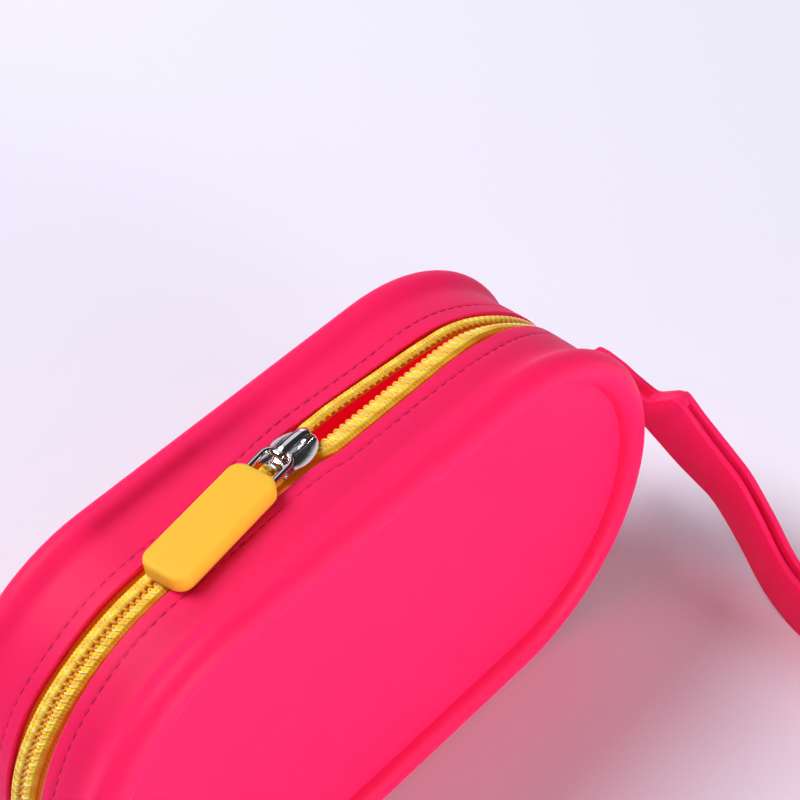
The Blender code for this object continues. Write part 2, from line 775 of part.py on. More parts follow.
def strap_path():
    """The closed middle line of the band, as (point, height, up)."""
    stations = strap_stations()
    outer = []
    inner = []
    for index, (middle, half, height, up) in enumerate(stations):
        before = stations[max(0, index - 1)][0]
        after = stations[min(len(stations) - 1, index + 1)][0]
        heading = (after - before).to_2d().normalized() if index else Vector((0, -1))
        side = Vector((-heading.y, heading.x, 0))
        outer.append((middle + side * half, height, up))
        inner.append((middle - side * half, height, up))
    last_heading = (stations[-1][0] - stations[-2][0]).to_2d().normalized().to_3d()
    far_turn = turn(stations[-1], last_heading, 8)
    near_turn = turn(stations[0], Vector((0, 1, 0)), 6)
    return outer + far_turn + list(reversed(inner)) + near_turn


def band_section(along, point, up, height, thickness, edge):
    """A cut across the band: a tall thin rectangle with its corners taken off."""
    side = along.cross(up).normalized()
    half_t = thickness / 2
    half_h = height / 2
    corners = (
        (half_t - edge, half_h),
        (half_t, half_h - edge),
        (half_t, edge - half_h),
        (half_t - edge, -half_h),
        (edge - half_t, -half_h),
        (-half_t, edge - half_h),
        (-half_t, half_h - edge),
        (edge - half_t, half_h),
    )
    return [point + side * s + up * h for s, h in corners]


def strap_head(collection):
    """The lump where the two layers run together into the neck."""
    stations = strap_stations()
    sections = []
    for index in range(len(NECK_ROUTE) - 2, len(NECK_ROUTE) + 1):
        middle, half, height, up = stations[index]
        along = stations[index + 1][0] - stations[index - 1][0]
        sections.append(band_section(along, middle, up, height - 4 * STRAP_EDGE, 2 * half, STRAP_EDGE))
    return finish_part("strap_head", skin(sections), None, collection)


def build_strap(parts, cutters, silicone):
    path = strap_path()
    sections = []
    for index, (point, height, up) in enumerate(path):
        along = path[(index + 1) % len(path)][0] - path[index - 1][0]
        sections.append(band_section(along, point, up, height, STRAP_THICKNESS, STRAP_EDGE))
    strap = finish_part("wrist_strap", skin(sections, closed=True), silicone, parts)
    add_boolean(strap, strap_head(cutters), "UNION")
    return strap


def hang_on(name, place, pieces, collection):
    """Parents pieces to an empty on their joint's axis, without moving them."""
    empty = bpy.data.objects.new(name, None)
    empty.empty_display_size = 0.01
    collection.objects.link(empty)
    empty.matrix_world = place
    for piece in pieces:
        kept = piece.matrix_world.copy()
        piece.parent = empty
        piece.matrix_parent_inverse = place.inverted()
        piece.matrix_world = kept
    return empty


def main():
    clear_scene()
    parts = make_collection("silicone_makeup_bag")
    cutters = make_collection("cutters")
    silicone = make_material("red_silicone", (1.0, 0.036, 0.13), 0.42)
    grip_silicone = make_material("amber_silicone", (0.96, 0.55, 0.06), 0.40)
    nylon = make_material("amber_nylon", (0.92, 0.55, 0.07), 0.38)
    fabric = make_material("amber_tape", (0.80, 0.30, 0.03), 0.85)
    metal = make_material("bright_steel", (0.70, 0.70, 0.71), 0.14, 1.0)

    build_pouch(parts, cutters, silicone)
    build_zip(parts, fabric, nylon, metal)
    body = build_slider(parts, cutters, metal)
    link, grip = build_puller(parts, cutters, grip_silicone, metal)
    strap = build_strap(parts, cutters, silicone)

    bpy.context.view_layer.update()
    slider_empty = hang_on("slider_axis", slider_frame(), [body], parts)
    pull_empty = hang_on("pull_hinge", pull_frame(), [link, grip], parts)
    strap_place = Matrix.Translation((BAR_MIDDLE_X, 0, SLOT_MIDDLE_Z))
    hang_on("strap_hinge", strap_place, [strap], parts)
    kept = pull_empty.matrix_world.copy()
    pull_empty.parent = slider_empty
    pull_empty.matrix_parent_inverse = slider_empty.matrix_world.inverted()
    pull_empty.matrix_world = kept


main()
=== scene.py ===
"""The looks of a silicone makeup bag over its CAD frame: the moulded pouch, the coil zip with its slider and
grip, and the wrist strap.

Lengths are in metres. A place on the pouch's rim is (along, across, height): along the crests of the rim
beads from the middle of the top towards +X, across in Y, and height over the crests, negative inwards.
"""

import math

import bmesh
import bpy
from mathutils import Matrix, Vector, noise


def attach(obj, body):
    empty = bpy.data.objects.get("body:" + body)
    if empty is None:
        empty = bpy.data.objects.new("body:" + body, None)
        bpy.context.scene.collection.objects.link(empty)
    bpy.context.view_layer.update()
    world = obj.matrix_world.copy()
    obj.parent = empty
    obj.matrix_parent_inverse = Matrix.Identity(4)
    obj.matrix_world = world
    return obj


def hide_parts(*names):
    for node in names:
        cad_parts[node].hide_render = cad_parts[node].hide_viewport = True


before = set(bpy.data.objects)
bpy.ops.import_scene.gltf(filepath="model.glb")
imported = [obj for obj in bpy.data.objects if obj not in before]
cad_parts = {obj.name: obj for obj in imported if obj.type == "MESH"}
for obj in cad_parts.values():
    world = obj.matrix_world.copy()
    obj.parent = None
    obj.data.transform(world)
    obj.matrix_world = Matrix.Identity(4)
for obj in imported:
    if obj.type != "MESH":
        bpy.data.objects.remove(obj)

bl_info = {
    "name": "Silicone makeup bag",
    "version": (1, 0, 0),
    "blender": (4, 5, 0),
    "location": "3D View > Sidebar > Makeup bag",
    "description": "Builds a moulded silicone makeup bag with a coil zip and a wrist strap",
    "category": "Add Mesh",
}

MM = 0.001
UP = Vector((0, 0, 1))

# How far the slit's lips stand off more to the left and where the zip is open, how far they come back towards
# the top end, the length of the slit's round ends, and the distance of the stitches from the lips.
NEAR_LIP_LEFT = 0.0015
NEAR_LIP_OPEN = 0.0012
NEAR_LIP_CLOSES = 0.00165
FAR_LIP_LEFT = 0.0012
FAR_LIP_EASES = 0.0028
FAR_LIP_CLOSES = 0.00245
SLIT_ROUND = 0.0042
STITCH_LINE = 0.0031
STITCH_LINE_GROWS = 0.0008

# The chain: how its middle wanders up to the slider, the gap between its rows, how much wider the near row
# looks where the zip is open, its open edge and gaps, and how far it shifts to the near side at the top end.
CHAIN_LEFT = -0.00115
CHAIN_RETURN = 0.0026
CHAIN_AT_SLIDER = 0.0024
ROW_GAP = 0.0003
NEAR_ROW_OPEN_EXTRA = 0.0019
OPEN_NEAR_EDGE = 0.0011
OPEN_GAP = 0.0035
EASED_GAP = 0.0010
TOP_END_SHIFT = 0.00175

# The threads' distance from a row's inner edge, open and closed, and how deep closed rows bite.
BAND_STARTS = 0.00105
BAND_STARTS_CLOSED = 0.00055
COIL_BITE = 0.00055

# The tapes: how far they go on past the slit, lie below the rows, and reach under a row and under its lip.
TAPE_PAST_SLIT = 0.0055
TAPE_BELOW_ROW = 0.0003
TAPE_UNDER_ROW = 0.0009
TAPE_UNDER_LIP = 0.0070

# The tab that carries the strap: where it starts in the pouch, its low edge, top, tip and thickness, its
# slot's start and middle, its bars and corners. The strap's neck turns round its upright bar, with some play.
TAB_STARTS = 0.0864
TAB_LOW = 0.0388
TAB_TOP = 0.0512
TAB_TIP = 0.1044
TAB_THICKNESS = 0.0034
SLOT_STARTS = 0.0942
SLOT_MIDDLE = 0.0450
TAB_BAR = 0.0032
TAB_CORNER = 0.0024
NECK_PLAY = 0.0005
TURN_Y = 0.0010

# The strap's neck: share of its way, share of the fall from the slot to the table, height of the band.
NECK_STATIONS = (
    (0.0, 0.0, 0.0046),
    (0.320, 0.035, 0.0042),
    (0.500, 0.075, 0.0040),
    (0.700, 0.115, 0.0040),
    (0.840, 0.135, 0.0044),
    (0.900, 0.138, 0.0076),
    (0.950, 0.136, 0.0120),
    (1.0, 0.136, 0.0156),
)

# The middle line of the strap's two layers: share of the reach to the side of the tab's bar, share of the
# way from the neck to the end of the reach, share of the fall.
STRAP_STATIONS = (
    (0.0150, 0.0162, 0.136),
    (0.0188, 0.0460, 0.232),
    (0.0228, 0.0760, 0.334),
    (0.0236, 0.1080, 0.412),
    (0.0218, 0.1500, 0.490),
    (0.0186, 0.1979, 0.584),
    (0.0071, 0.2706, 0.800),
    (-0.0214, 0.3546, 0.956),
    (-0.0486, 0.4475, 0.997),
    (-0.0657, 0.5477, 1.0),
    (-0.0729, 0.6607, 1.0),
    (-0.0714, 0.7738, 1.0),
    (-0.0643, 0.8869, 1.0),
    (-0.0543, 1.0, 1.0),
)
LOOP_STARTS = 0.5477
HEAD_ENDS = -0.0202


def linear_colour(hex_code):
    """Turns an sRGB hex colour into linear values."""
    channels = [int(hex_code[i : i + 2], 16) / 255 for i in (1, 3, 5)]
    return tuple(c / 12.92 if c <= 0.04045 else ((c + 0.055) / 1.055) ** 2.4 for c in channels)


def length(name, description, default):
    return bpy.props.FloatProperty(
        name=name, description=description, default=default, unit="LENGTH", precision=5
    )


def colour(name, description, hex_code):
    return bpy.props.FloatVectorProperty(
        name=name, description=description, default=linear_colour(hex_code), subtype="COLOR", min=0, max=1
    )


def angle_setting(name, description, degrees):
    return bpy.props.FloatProperty(
        name=name, description=description, default=math.radians(degrees), subtype="ANGLE"
    )


class PouchSizes(bpy.types.PropertyGroup):
    end_radius: length("End radius", "Radius of the two round ends, to the bead crests", 0.049)
    half_run: length("Half run", "Half the length of the straight top", 0.0412)
    width: length("Width", "Width over the two rim beads", 0.0514)
    wall: length("Wall", "Thickness of the silicone", 0.0020)
    bead_radius: length("Bead radius", "Radius of the rim beads", 0.0041)
    gusset_drop: length("Gusset drop", "Depth of the gusset under the bead crests", 0.0024)
    cove: length("Cove", "Width of the hollow between gusset and bead", 0.0046)
    crease_depth: length("Crease depth", "How far the face is set in from the bead's side", 0.0034)
    panel_crown: length("Face crown", "How far each face swells out towards its middle", 0.0012)
    near_lip: length("Near lip", "Distance of the near lip from the middle", 0.0043)
    far_lip: length("Far lip", "Distance of the far lip from the middle where the zip is closed", 0.0040)
    lip_bulge: length("Lip bulge", "How much more the far lip stands off where the zip is open", 0.0043)
    slit_to_tab: length("Slit to tab", "Height of the slit's end over the top of the strap's tab", 0.0029)


class ZipSizes(bpy.types.PropertyGroup):
    pitch: length("Coil pitch", "Distance from one turn of the coil to the next", 0.00188)
    filament: length("Filament", "Diameter of the nylon filament", 0.00092)
    row_width: length("Row width", "Width of one row where the zip is closed", 0.0029)
    row_height: length("Row height", "Height of a row of coil", 0.00165)
    tape_thickness: length("Tape thickness", "Thickness of the woven tape", 0.00045)
    stitch_pitch: length("Stitch pitch", "Distance between the stitches along the lips", 0.0029)


class SliderSizes(bpy.types.PropertyGroup):
    wire: length("Wire", "Diameter of the link's wire", 0.00145)
    grip_length: length("Grip length", "Length of the grip", 0.0331)
    grip_width: length("Grip width", "Width of the grip", 0.0124)
    grip_thickness: length("Grip thickness", "Thickness of the grip", 0.0046)


class StrapSizes(bpy.types.PropertyGroup):
    width: length("Strap width", "Width of the strap's band", 0.0170)
    thickness: length("Strap thickness", "Thickness of each layer", 0.0017)
    neck: length("Neck", "Length of the strap's neck from the tab", 0.0162)
    reach: length("Reach", "From the tab to the far turn of the loop", 0.1400)
    loop: length("Loop", "Half the width of the loop for the wrist", 0.0125)


class Finishes(bpy.types.PropertyGroup):
    silicone: colour("Silicone", "Colour of the pouch and strap", "#FF2264")
    grip: colour("Grip", "Colour of the grip", "#FFC640")
    coil: colour("Coil", "Colour of the nylon coil", "#FFC446")
    zip_thread: colour("Zip thread", "Colour of the threads over the coil", "#FFE03C")
    tape: colour("Tape", "Colour of the zip tape", "#FFC02A")
    thread: colour("Thread", "Colour of the stitches along the lips", "#A80030")
    metal: colour("Metal", "Colour of the slider and the link", "#E4E4E6")
    table: colour("Table", "Colour of the table", "#EDEBFA")


class StageSettings(bpy.types.PropertyGroup):
    azimuth: angle_setting("Azimuth", "Camera's angle round the bag", -42.15)
    elevation: angle_setting("Elevation", "Camera's angle over the table", 45.3)
    roll: angle_setting("Roll", "Camera's turn about its own axis", -6.25)
    distance: length("Distance", "From the camera to the point it looks at", 0.4436)
    lens: bpy.props.FloatProperty(
        name="Lens", description="Focal length on a 36 mm sensor", default=88.7, unit="CAMERA"
    )


GROUPS = {
    "bag_pouch": PouchSizes,
    "bag_zip": ZipSizes,
    "bag_slider": SliderSizes,
    "bag_strap": StrapSizes,
    "bag_finishes": Finishes,
    "bag_stage": StageSettings,
}


def settings(group):
    return getattr(bpy.context.scene, group)


def paint(name):
    """A colour of the finishes, by its name."""
    return tuple(getattr(settings("bag_finishes"), name))


def mix(a, b, t):
    return a + (b - a) * t


def smooth_step(value):
    t = min(1.0, max(0.0, value))
    return t * t * (3 - 2 * t)


def circle(count):
    """(cos, sin) of evenly spaced angles, once round."""
    angles = [math.tau * index / count for index in range(count)]
    return [(math.cos(angle), math.sin(angle)) for angle in angles]


# Meshes


def bent_grid(bm, columns, rows, place):
    """Makes a flat grid and moves its point (column, row) to place(column, row)."""
    made = bmesh.ops.create_grid(bm, x_segments=columns, y_segments=rows, size=1.0)
    spots = {}
    for vert in made["verts"]:
        spot = (round((vert.co.x + 1) / 2 * columns), round((vert.co.y + 1) / 2 * rows))
        spots[spot] = vert
    for spot, vert in spots.items():
        vert.co = place(*spot)
    return spots


def sweep(bm, sections, closed=False):
    """Lays a skin over rings of points, one ring after the other, and fills its two ends."""
    count = len(sections)
    ring = len(sections[0])
    spots = bent_grid(
        bm,
        count if closed else count - 1,
        ring,
        lambda column, row: sections[column % count][row % ring],
    )
    bmesh.ops.remove_doubles(bm, verts=list(spots.values()), dist=1e-7)
    if not closed:
        ends = [edge for edge in bm.edges if edge.is_boundary]
        bmesh.ops.holes_fill(bm, edges=ends, sides=0)


def add_block(bm, size, middle):
    verts = bmesh.ops.create_cube(bm, size=1.0)["verts"]
    bmesh.ops.scale(bm, verts=verts, vec=size)
    bmesh.ops.translate(bm, verts=verts, vec=middle)


def bevel_edges(bm, edges, width, segments):
    bmesh.ops.bevel(
        bm, geom=edges, offset=width, segments=segments, profile=0.5, affect="EDGES", material=-1
    )


def add_object(name, data):
    made = bpy.data.objects.new(name, data)
    bpy.context.scene.collection.objects.link(made)
    return made


def finish_piece(name, bm, material, body, nodes=(), sharp=0, inside_out=False):
    """Makes the object of a piece, smooth but for edges over the sharp angle, to ride on its body."""
    if not inside_out:
        bmesh.ops.recalc_face_normals(bm, faces=bm.faces)
    mesh = bpy.data.meshes.new(name)
    bm.to_mesh(mesh)
    bm.free()
    mesh.shade_smooth()
    if sharp:
        mesh.set_sharp_from_angle(angle=math.radians(sharp))
    mesh.materials.append(material)
    piece = add_object(name, mesh)
    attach(piece, body)
    if nodes:
        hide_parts(*nodes)
    return piece


def add_modifier(piece, kind, **values):
    modifier = piece.modifiers.new(kind.title(), kind)
    for name, value in values.items():
        setattr(modifier, name, value)


def round_edges(piece, width, segments, degrees):
    """Rounds the edges that turn by more than an angle."""
    limit = math.radians(degrees)
    add_modifier(piece, "BEVEL", width=width, segments=segments, limit_method="ANGLE", angle_limit=limit)


# Materials


def add_node(material, kind, values=(), links=()):
    """Adds a shader node. Values name properties or sockets, and links name a socket and what feeds it."""
    node = material.node_tree.nodes.new("ShaderNode" + kind)
    for name, value in dict(values).items():
        if isinstance(name, str) and hasattr(node, name):
            setattr(node, name, value)
        else:
            node.inputs[name].default_value = value
    for name, output in dict(links).items():
        material.node_tree.links.new(output, node.inputs[name])
    return node


def new_material(name, values):
    """A material with a Principled shader, and its shader and Object coordinates for the patterns."""
    material = bpy.data.materials.new(name)
    material.use_nodes = True
    material.node_tree.nodes.clear()
    shader = add_node(material, "BsdfPrincipled", values)
    add_node(material, "OutputMaterial", links={"Surface": shader.outputs["BSDF"]})
    place = add_node(material, "TexCoord").outputs["Object"]
    return material, shader, place


def feed(material, shader, links):
    """Links outputs to sockets of the shader, by the sockets' names."""
    for socket, output in links.items():
        material.node_tree.links.new(output, shader.inputs[socket])


def patches(material, place, millimetres, detail=2.0):
    """Noise in patches about so wide."""
    values = {"Scale": 1 / (millimetres * MM), "Detail": detail}
    return add_node(material, "TexNoise", values, {"Vector": place}).outputs["Fac"]


def bands(material, place, direction, scale, distortion):
    values = {"bands_direction": direction, "Scale": scale, "Distortion": distortion}
    return add_node(material, "TexWave", values, {"Vector": place}).outputs["Fac"]


def calculate(material, operation, values, links):
    return add_node(material, "Math", {"operation": operation, **values}, links).outputs[0]


def blend(material, base, shares, pattern):
    """The base colour, darkened by shares of its channels where the pattern is low."""
    dark = [channel * share for channel, share in zip(base, shares)]
    values = {"data_type": "RGBA", 6: (*dark, 1), 7: (*base, 1)}
    return add_node(material, "Mix", values, {0: pattern}).outputs[2]


def spread(material, low, high, pattern):
    """The pattern's share of the way from low to high."""
    values = {"To Min": low, "To Max": high}
    return add_node(material, "MapRange", values, {"Value": pattern}).outputs["Result"]


def relief(material, strength, millimetres, pattern, links=()):
    """A bumpy surface, so deep where the pattern is high."""
    values = {"Strength": strength, "Distance": millimetres * MM}
    return add_node(material, "Bump", values, {"Height": pattern, **dict(links)}).outputs["Normal"]


def moulded_silicone(name, base, roughness=0.5, glow=0.5, painted_glow=0.0):
    """Silicone rubber from a satin mould: soft sheen, faint uneven gloss, a trace of light passing through,
    and a few specks of dust that its surface holds. It can also take a painted glow: an emission that
    stands in for light coming through the thin wall."""
    material, shader, place = new_material(
        name,
        {
            "Roughness": roughness,
            "IOR": 1.41,
            "Specular IOR Level": 0.15,
            "Subsurface Weight": glow,
            "Subsurface Radius": (1.0, 0.12, 0.25),
            "Subsurface Scale": 0.003,
            # Painted glow: an emission in the silicone's own hue, at the given strength, stands in for light
            # coming through the wall.
            "Emission Color": (base[0], base[1] * 0.3, base[2] * 0.4, 1),
            "Emission Strength": painted_glow,
        },
    )
    # Tone wanders over patches about 40 mm wide, as pigment does in a thick moulding.
    tone = blend(material, base, (0.93, 0.93, 0.93), patches(material, place, 40))
    # Dust: one cell in twenty of a 5 mm net holds a speck about 0.2 mm wide.
    cells = add_node(material, "TexVoronoi", {"Scale": 1 / (5 * MM)}, {"Vector": place}).outputs
    speck = calculate(material, "LESS_THAN", {1: 0.022}, {0: cells["Distance"]})
    chance = add_node(material, "SeparateColor", {}, {"Color": cells["Color"]}).outputs["Red"]
    chosen = calculate(material, "GREATER_THAN", {1: 0.95}, {0: chance})
    dust = calculate(material, "MULTIPLY", {}, {0: speck, 1: chosen})
    dusty = add_node(
        material, "Mix", {"data_type": "RGBA", 7: (1.0, 0.42, 0.50, 1)}, {0: dust, 6: tone}
    ).outputs[2]
    # Gloss varies over 12 mm. The mould's blasted grain is 0.25 mm, on waves of 22 mm.
    gloss = spread(material, roughness - 0.05, roughness + 0.06, patches(material, place, 12, 3.0))
    grain = relief(material, 0.10, 0.03, patches(material, place, 0.25, 1.0))
    waves = relief(material, 0.35, 0.6, patches(material, place, 22, 1.0), {"Normal": grain})
    feed(material, shader, {"Base Color": dusty, "Roughness": gloss, "Normal": waves})
    return material


def nylon_monofilament(base):
    """Nylon filament, drawn and heat-set into a coil: smooth, glossy and slightly see-through."""
    material, shader, place = new_material(
        "nylon_monofilament",
        {
            "Roughness": 0.24,
            "IOR": 1.53,
            "Subsurface Weight": 0.35,
            "Subsurface Radius": (1.0, 0.6, 0.15),
            "Subsurface Scale": 0.0008,
        },
    )
    # The filament's tone changes a little from turn to turn, over 1.5 mm, and it has scratches of 0.2 mm.
    tone = blend(material, base, (0.86, 0.74, 0.5), patches(material, place, 1.5))
    scratches = relief(material, 0.08, 0.04, patches(material, place, 0.2))
    feed(material, shader, {"Base Color": tone, "Normal": scratches})
    return material


def spun_polyester(name, base):
    """Spun polyester thread: plied yarn with a dull sheen, whose tone wanders along the row."""
    material, shader, place = new_material(name, {"Roughness": 0.6, "Specular IOR Level": 0.3})
    # Diagonal bands 6.28 mm apart along each axis.
    plies = bands(material, place, "DIAGONAL", math.tau / 10 / (6.2832 * MM), 1.5)
    tone = blend(material, base, (0.93, 0.74, 0.6), plies)
    bump = relief(material, 0.3, 0.08, plies)
    feed(material, shader, {"Base Color": tone, "Normal": bump})
    return material


def woven_polyester_tape(base):
    """Polyester tape, tightly woven and dyed: dull, with ribs of warp and weft 0.7 mm apart, and a faint
    painted glow.
    """
    material, shader, place = new_material(
        "woven_polyester_tape",
        {
            "Roughness": 0.8,
            "Sheen Weight": 0.3,
            "Sheen Roughness": 0.5,
            "Subsurface Weight": 0.7,
            "Subsurface Radius": (1.0, 0.45, 0.1),
            "Subsurface Scale": 0.003,
            # Painted glow: a faint orange emission brightens the shaded tape a little from all sides, in
            # place of the light that reaches it through and off the silicone round it.
            "Emission Color": (1.0, 0.25, 0.01, 1),
            "Emission Strength": 0.07,
        },
    )
    warp, weft = (bands(material, place, axis, math.tau / 20 / (0.7 * MM), 0.4) for axis in "XY")
    weave = calculate(material, "MULTIPLY", {}, {0: warp, 1: weft})
    tone = blend(material, base, (0.7, 0.7, 0.7), weave)
    feed(material, shader, {"Base Color": tone, "Normal": relief(material, 0.5, 0.1, weave)})
    return material


def plated_zinc(base):
    """Die-cast zinc with bright nickel plating: a mirror with soft hollows and faint handling marks."""
    values = {"Metallic": 1.0, "Base Color": (*base, 1)}
    material, shader, place = new_material("plated_zinc", values)
    # Smears of 2 mm and hollows of 1.4 mm.
    gloss = spread(material, 0.05, 0.20, patches(material, place, 2.0, 4.0))
    hollows = relief(material, 0.12, 0.2, patches(material, place, 1.4, 1.0))
    feed(material, shader, {"Roughness": gloss, "Normal": hollows})
    return material


def coated_paper(base):
    """A matt coated paper roll over the table, nearly white, with a trace of gloss in patches of 60 mm."""
    values = {"Specular IOR Level": 0.15, "Base Color": (*base, 1)}
    material, shader, place = new_material("coated_paper", values)
    feed(material, shader, {"Roughness": spread(material, 0.75, 0.85, patches(material, place, 60))})
    return material


def pouch_silicone():
    name = "moulded_silicone"
    return bpy.data.materials.get(name) or moulded_silicone(name, paint("silicone"))


def inner_skin():
    """The same silicone on the inside, with a painted glow: an emission that stands in for the light which
    comes through the thin wall.
    """
    return moulded_silicone("moulded_silicone_inside", paint("silicone"), roughness=0.6, painted_glow=0.13)


def metal():
    return bpy.data.materials.get("plated_zinc") or plated_zinc(paint("metal"))


# The pouch's rim


def slit_end():
    pouch = settings("bag_pouch")
    rise = TAB_TOP + pouch.slit_to_tab - pouch.end_radius
    return pouch.half_run + pouch.end_radius * math.acos(rise / pouch.end_radius)


def rim_length():
    pouch = settings("bag_pouch")
    return 4 * pouch.half_run + math.tau * pouch.end_radius


def rim_place(along, across, height):
    """World point of a place on the rim, which turns down at each end of the top and runs back below."""
    pouch = settings("bag_pouch")
    half = rim_length() / 2
    way = (along + half) % (2 * half) - half
    past = max(0.0, abs(way) - pouch.half_run)
    angle = min(math.pi, past / pouch.end_radius)
    run = min(abs(way), pouch.half_run, half - abs(way))
    reach = pouch.end_radius + height
    x = math.copysign(run + reach * math.sin(angle), way)
    return Vector((x, across, pouch.end_radius + reach * math.cos(angle)))


def lip(along, side):
    """Distance of a lip of the slit from the middle. The far lip stands off where the zip is open."""
    pouch = settings("bag_pouch")
    if side < 0:
        if along < 0:
            return pouch.near_lip + NEAR_LIP_LEFT * smooth_step((-along - 0.008) / 0.036)
        closing = NEAR_LIP_CLOSES * smooth_step((along - 0.050) / 0.030)
        return pouch.near_lip + NEAR_LIP_OPEN * smooth_step(along / 0.008) - closing
    if along < -pouch.half_run:
        return pouch.far_lip + FAR_LIP_LEFT * smooth_step((-along - 0.066) / 0.020)
    if along < 0.008:
        opened = smooth_step((along + pouch.half_run) / (pouch.half_run + 0.008))
        return pouch.far_lip + pouch.lip_bulge * opened
    eased = FAR_LIP_EASES * min(1.0, (along - 0.008) / 0.050)
    return pouch.far_lip + pouch.lip_bulge - eased - FAR_LIP_CLOSES * smooth_step((along - 0.052) / 0.028)


def slit_taper(along):
    """Share of its width that the slit keeps towards its round ends."""
    left = (slit_end() - abs(along)) / SLIT_ROUND
    if left < 0:
        return mix(0.3, 1.0, smooth_step(-left / 2))
    return mix(0.3, 1.0, math.sqrt(1 - (1 - min(1.0, left)) ** 2))


def stitch_line(along):
    """Distance of the stitches from the lip they run along, which grows towards the top end."""
    return STITCH_LINE + STITCH_LINE_GROWS * smooth_step((along - 0.024) / 0.026)


def bead_place(degrees):
    """(across, height) of a point of the rim bead, by its angle from the crest towards the face."""
    pouch = settings("bag_pouch")
    angle = math.radians(degrees)
    across = pouch.width / 2 - pouch.bead_radius + pouch.bead_radius * math.sin(angle)
    return across, pouch.bead_radius * (math.cos(angle) - 1)


# Rows of the gusset: shares of the way from the lip to the stitches' groove, rows across the groove, and
# shares of the way from there to the bead. Rows of the face, from the crease inwards.
LIP_SHARES = (0.0, 0.16, 0.42, 0.72)
GROOVE_ROWS = (-0.00062, -0.00031, 0.0, 0.00031, 0.00062)
GUSSET_SHARES = (0.2, 0.45, 0.72, 1.0)
PANEL_SHARES = (0.03, 0.08, 0.16, 0.3, 0.5, 0.75, 1.0)
PANEL_RUN = 0.020
COVE_SLOPE = 42
GUSSET_CROWN = 0.0003
GROOVE_WIDTH = 0.00034
GROOVE_DEPTH = 0.00018
LIP_LIFT = 0.00012
FILL_STARTS = 0.006


def base_fill(along):
    """Share by which the gusset's hollow is filled, from nothing on the top to all of it on the base."""
    pouch = settings("bag_pouch")
    turned = max(0.0, abs(along) - pouch.half_run) / pouch.end_radius
    return smooth_step(-math.cos(min(math.pi, turned)))


def gusset_height(along, side, across, edge, seam, foot):
    """Height of the gusset: its crown, the seam's puckered groove and the lip's waves."""
    pucker = noise.noise(Vector((along * 140, side * 3.0, 0.0)))
    lift = noise.noise(Vector((along * 60, side * 7.0, 4.0)))
    groove = math.exp(-(((across - seam) / GROOVE_WIDTH) ** 2))
    loose = 1 - smooth_step((across - edge) / (foot - edge))
    sewn = 1 - smooth_step((abs(along) - slit_end()) / 0.006)
    height = GUSSET_CROWN * (1 - (across / foot) ** 2) - settings("bag_pouch").gusset_drop
    height += sewn * (LIP_LIFT * lift * loose - GROOVE_DEPTH * groove * (1 + 0.6 * pucker))
    fill = base_fill(along) * (1 - smooth_step((across - FILL_STARTS) / (foot - FILL_STARTS)))
    return mix(height, 0.0, fill)


def rim_section(along, side):
    """One half of the pouch's section at a station, from its lip over the bead to the face."""
    pouch = settings("bag_pouch")
    foot = bead_place(-COVE_SLOPE)[0] - pouch.cove
    edge = lip(along, side) * slit_taper(along)
    seam = lip(along, side) + stitch_line(along)
    rows = [mix(edge, seam + GROOVE_ROWS[0], share) for share in LIP_SHARES]
    rows += [seam + beside for beside in GROOVE_ROWS]
    rows += [mix(rows[-1], foot, share) for share in GUSSET_SHARES]
    points = [(across, gusset_height(along, side, across, edge, seam, foot)) for across in rows]
    rise_from = Vector((foot, -pouch.gusset_drop))
    rise_to = Vector(bead_place(-COVE_SLOPE))
    slope = Vector((math.cos(math.radians(COVE_SLOPE)), math.sin(math.radians(COVE_SLOPE))))
    pull = pouch.cove * 0.38
    handles = (rise_from, rise_from + Vector((pull, 0)), rise_to - slope * pull, rise_to)
    for step in range(1, 8):
        t = step / 7
        weights = ((1 - t) ** 3, 3 * t * (1 - t) ** 2, 3 * t * t * (1 - t), t**3)
        point = sum((handle * weight for handle, weight in zip(handles, weights)), Vector((0, 0)))
        points.append(tuple(point))
    points.extend(bead_place(degrees) for degrees in range(-30, 151, 12))
    crease = pouch.width / 2 - pouch.crease_depth
    crease_height = -2.08 * pouch.bead_radius
    points.append((crease - 0.0001, crease_height + 0.0004))
    points.append((crease, crease_height))
    for share in PANEL_SHARES:
        swell = pouch.panel_crown * (1 - (1 - share) ** 2)
        points.append((crease + swell, crease_height - PANEL_RUN * share))
    return points


def rim_stations():
    """Stations once round the pouch, closer together along the slit and at its ends."""
    pouch = settings("bag_pouch")
    turn = math.pi * pouch.end_radius
    whole = rim_length()
    marks = [mix(-pouch.half_run, pouch.half_run, step / 56) for step in range(56)]
    marks += [pouch.half_run + turn * step / 42 for step in range(42)]
    marks += [pouch.half_run + turn + 2 * pouch.half_run * step / 16 for step in range(16)]
    marks += [3 * pouch.half_run + turn + turn * step / 42 for step in range(42)]
    ends = [slit_end() - share * SLIT_ROUND for share in (0, 0.06, 0.2, 0.42, 0.7)]
    ends += [slit_end() + 0.0009, slit_end() + 0.0021]
    kept = [m for m in marks if min(min(abs(m - e), abs(whole - m - e)) for e in ends) > 0.0006]
    stations = sorted(kept + ends + [whole - e for e in ends])
    return [s if s < whole / 2 else s - whole for s in stations]


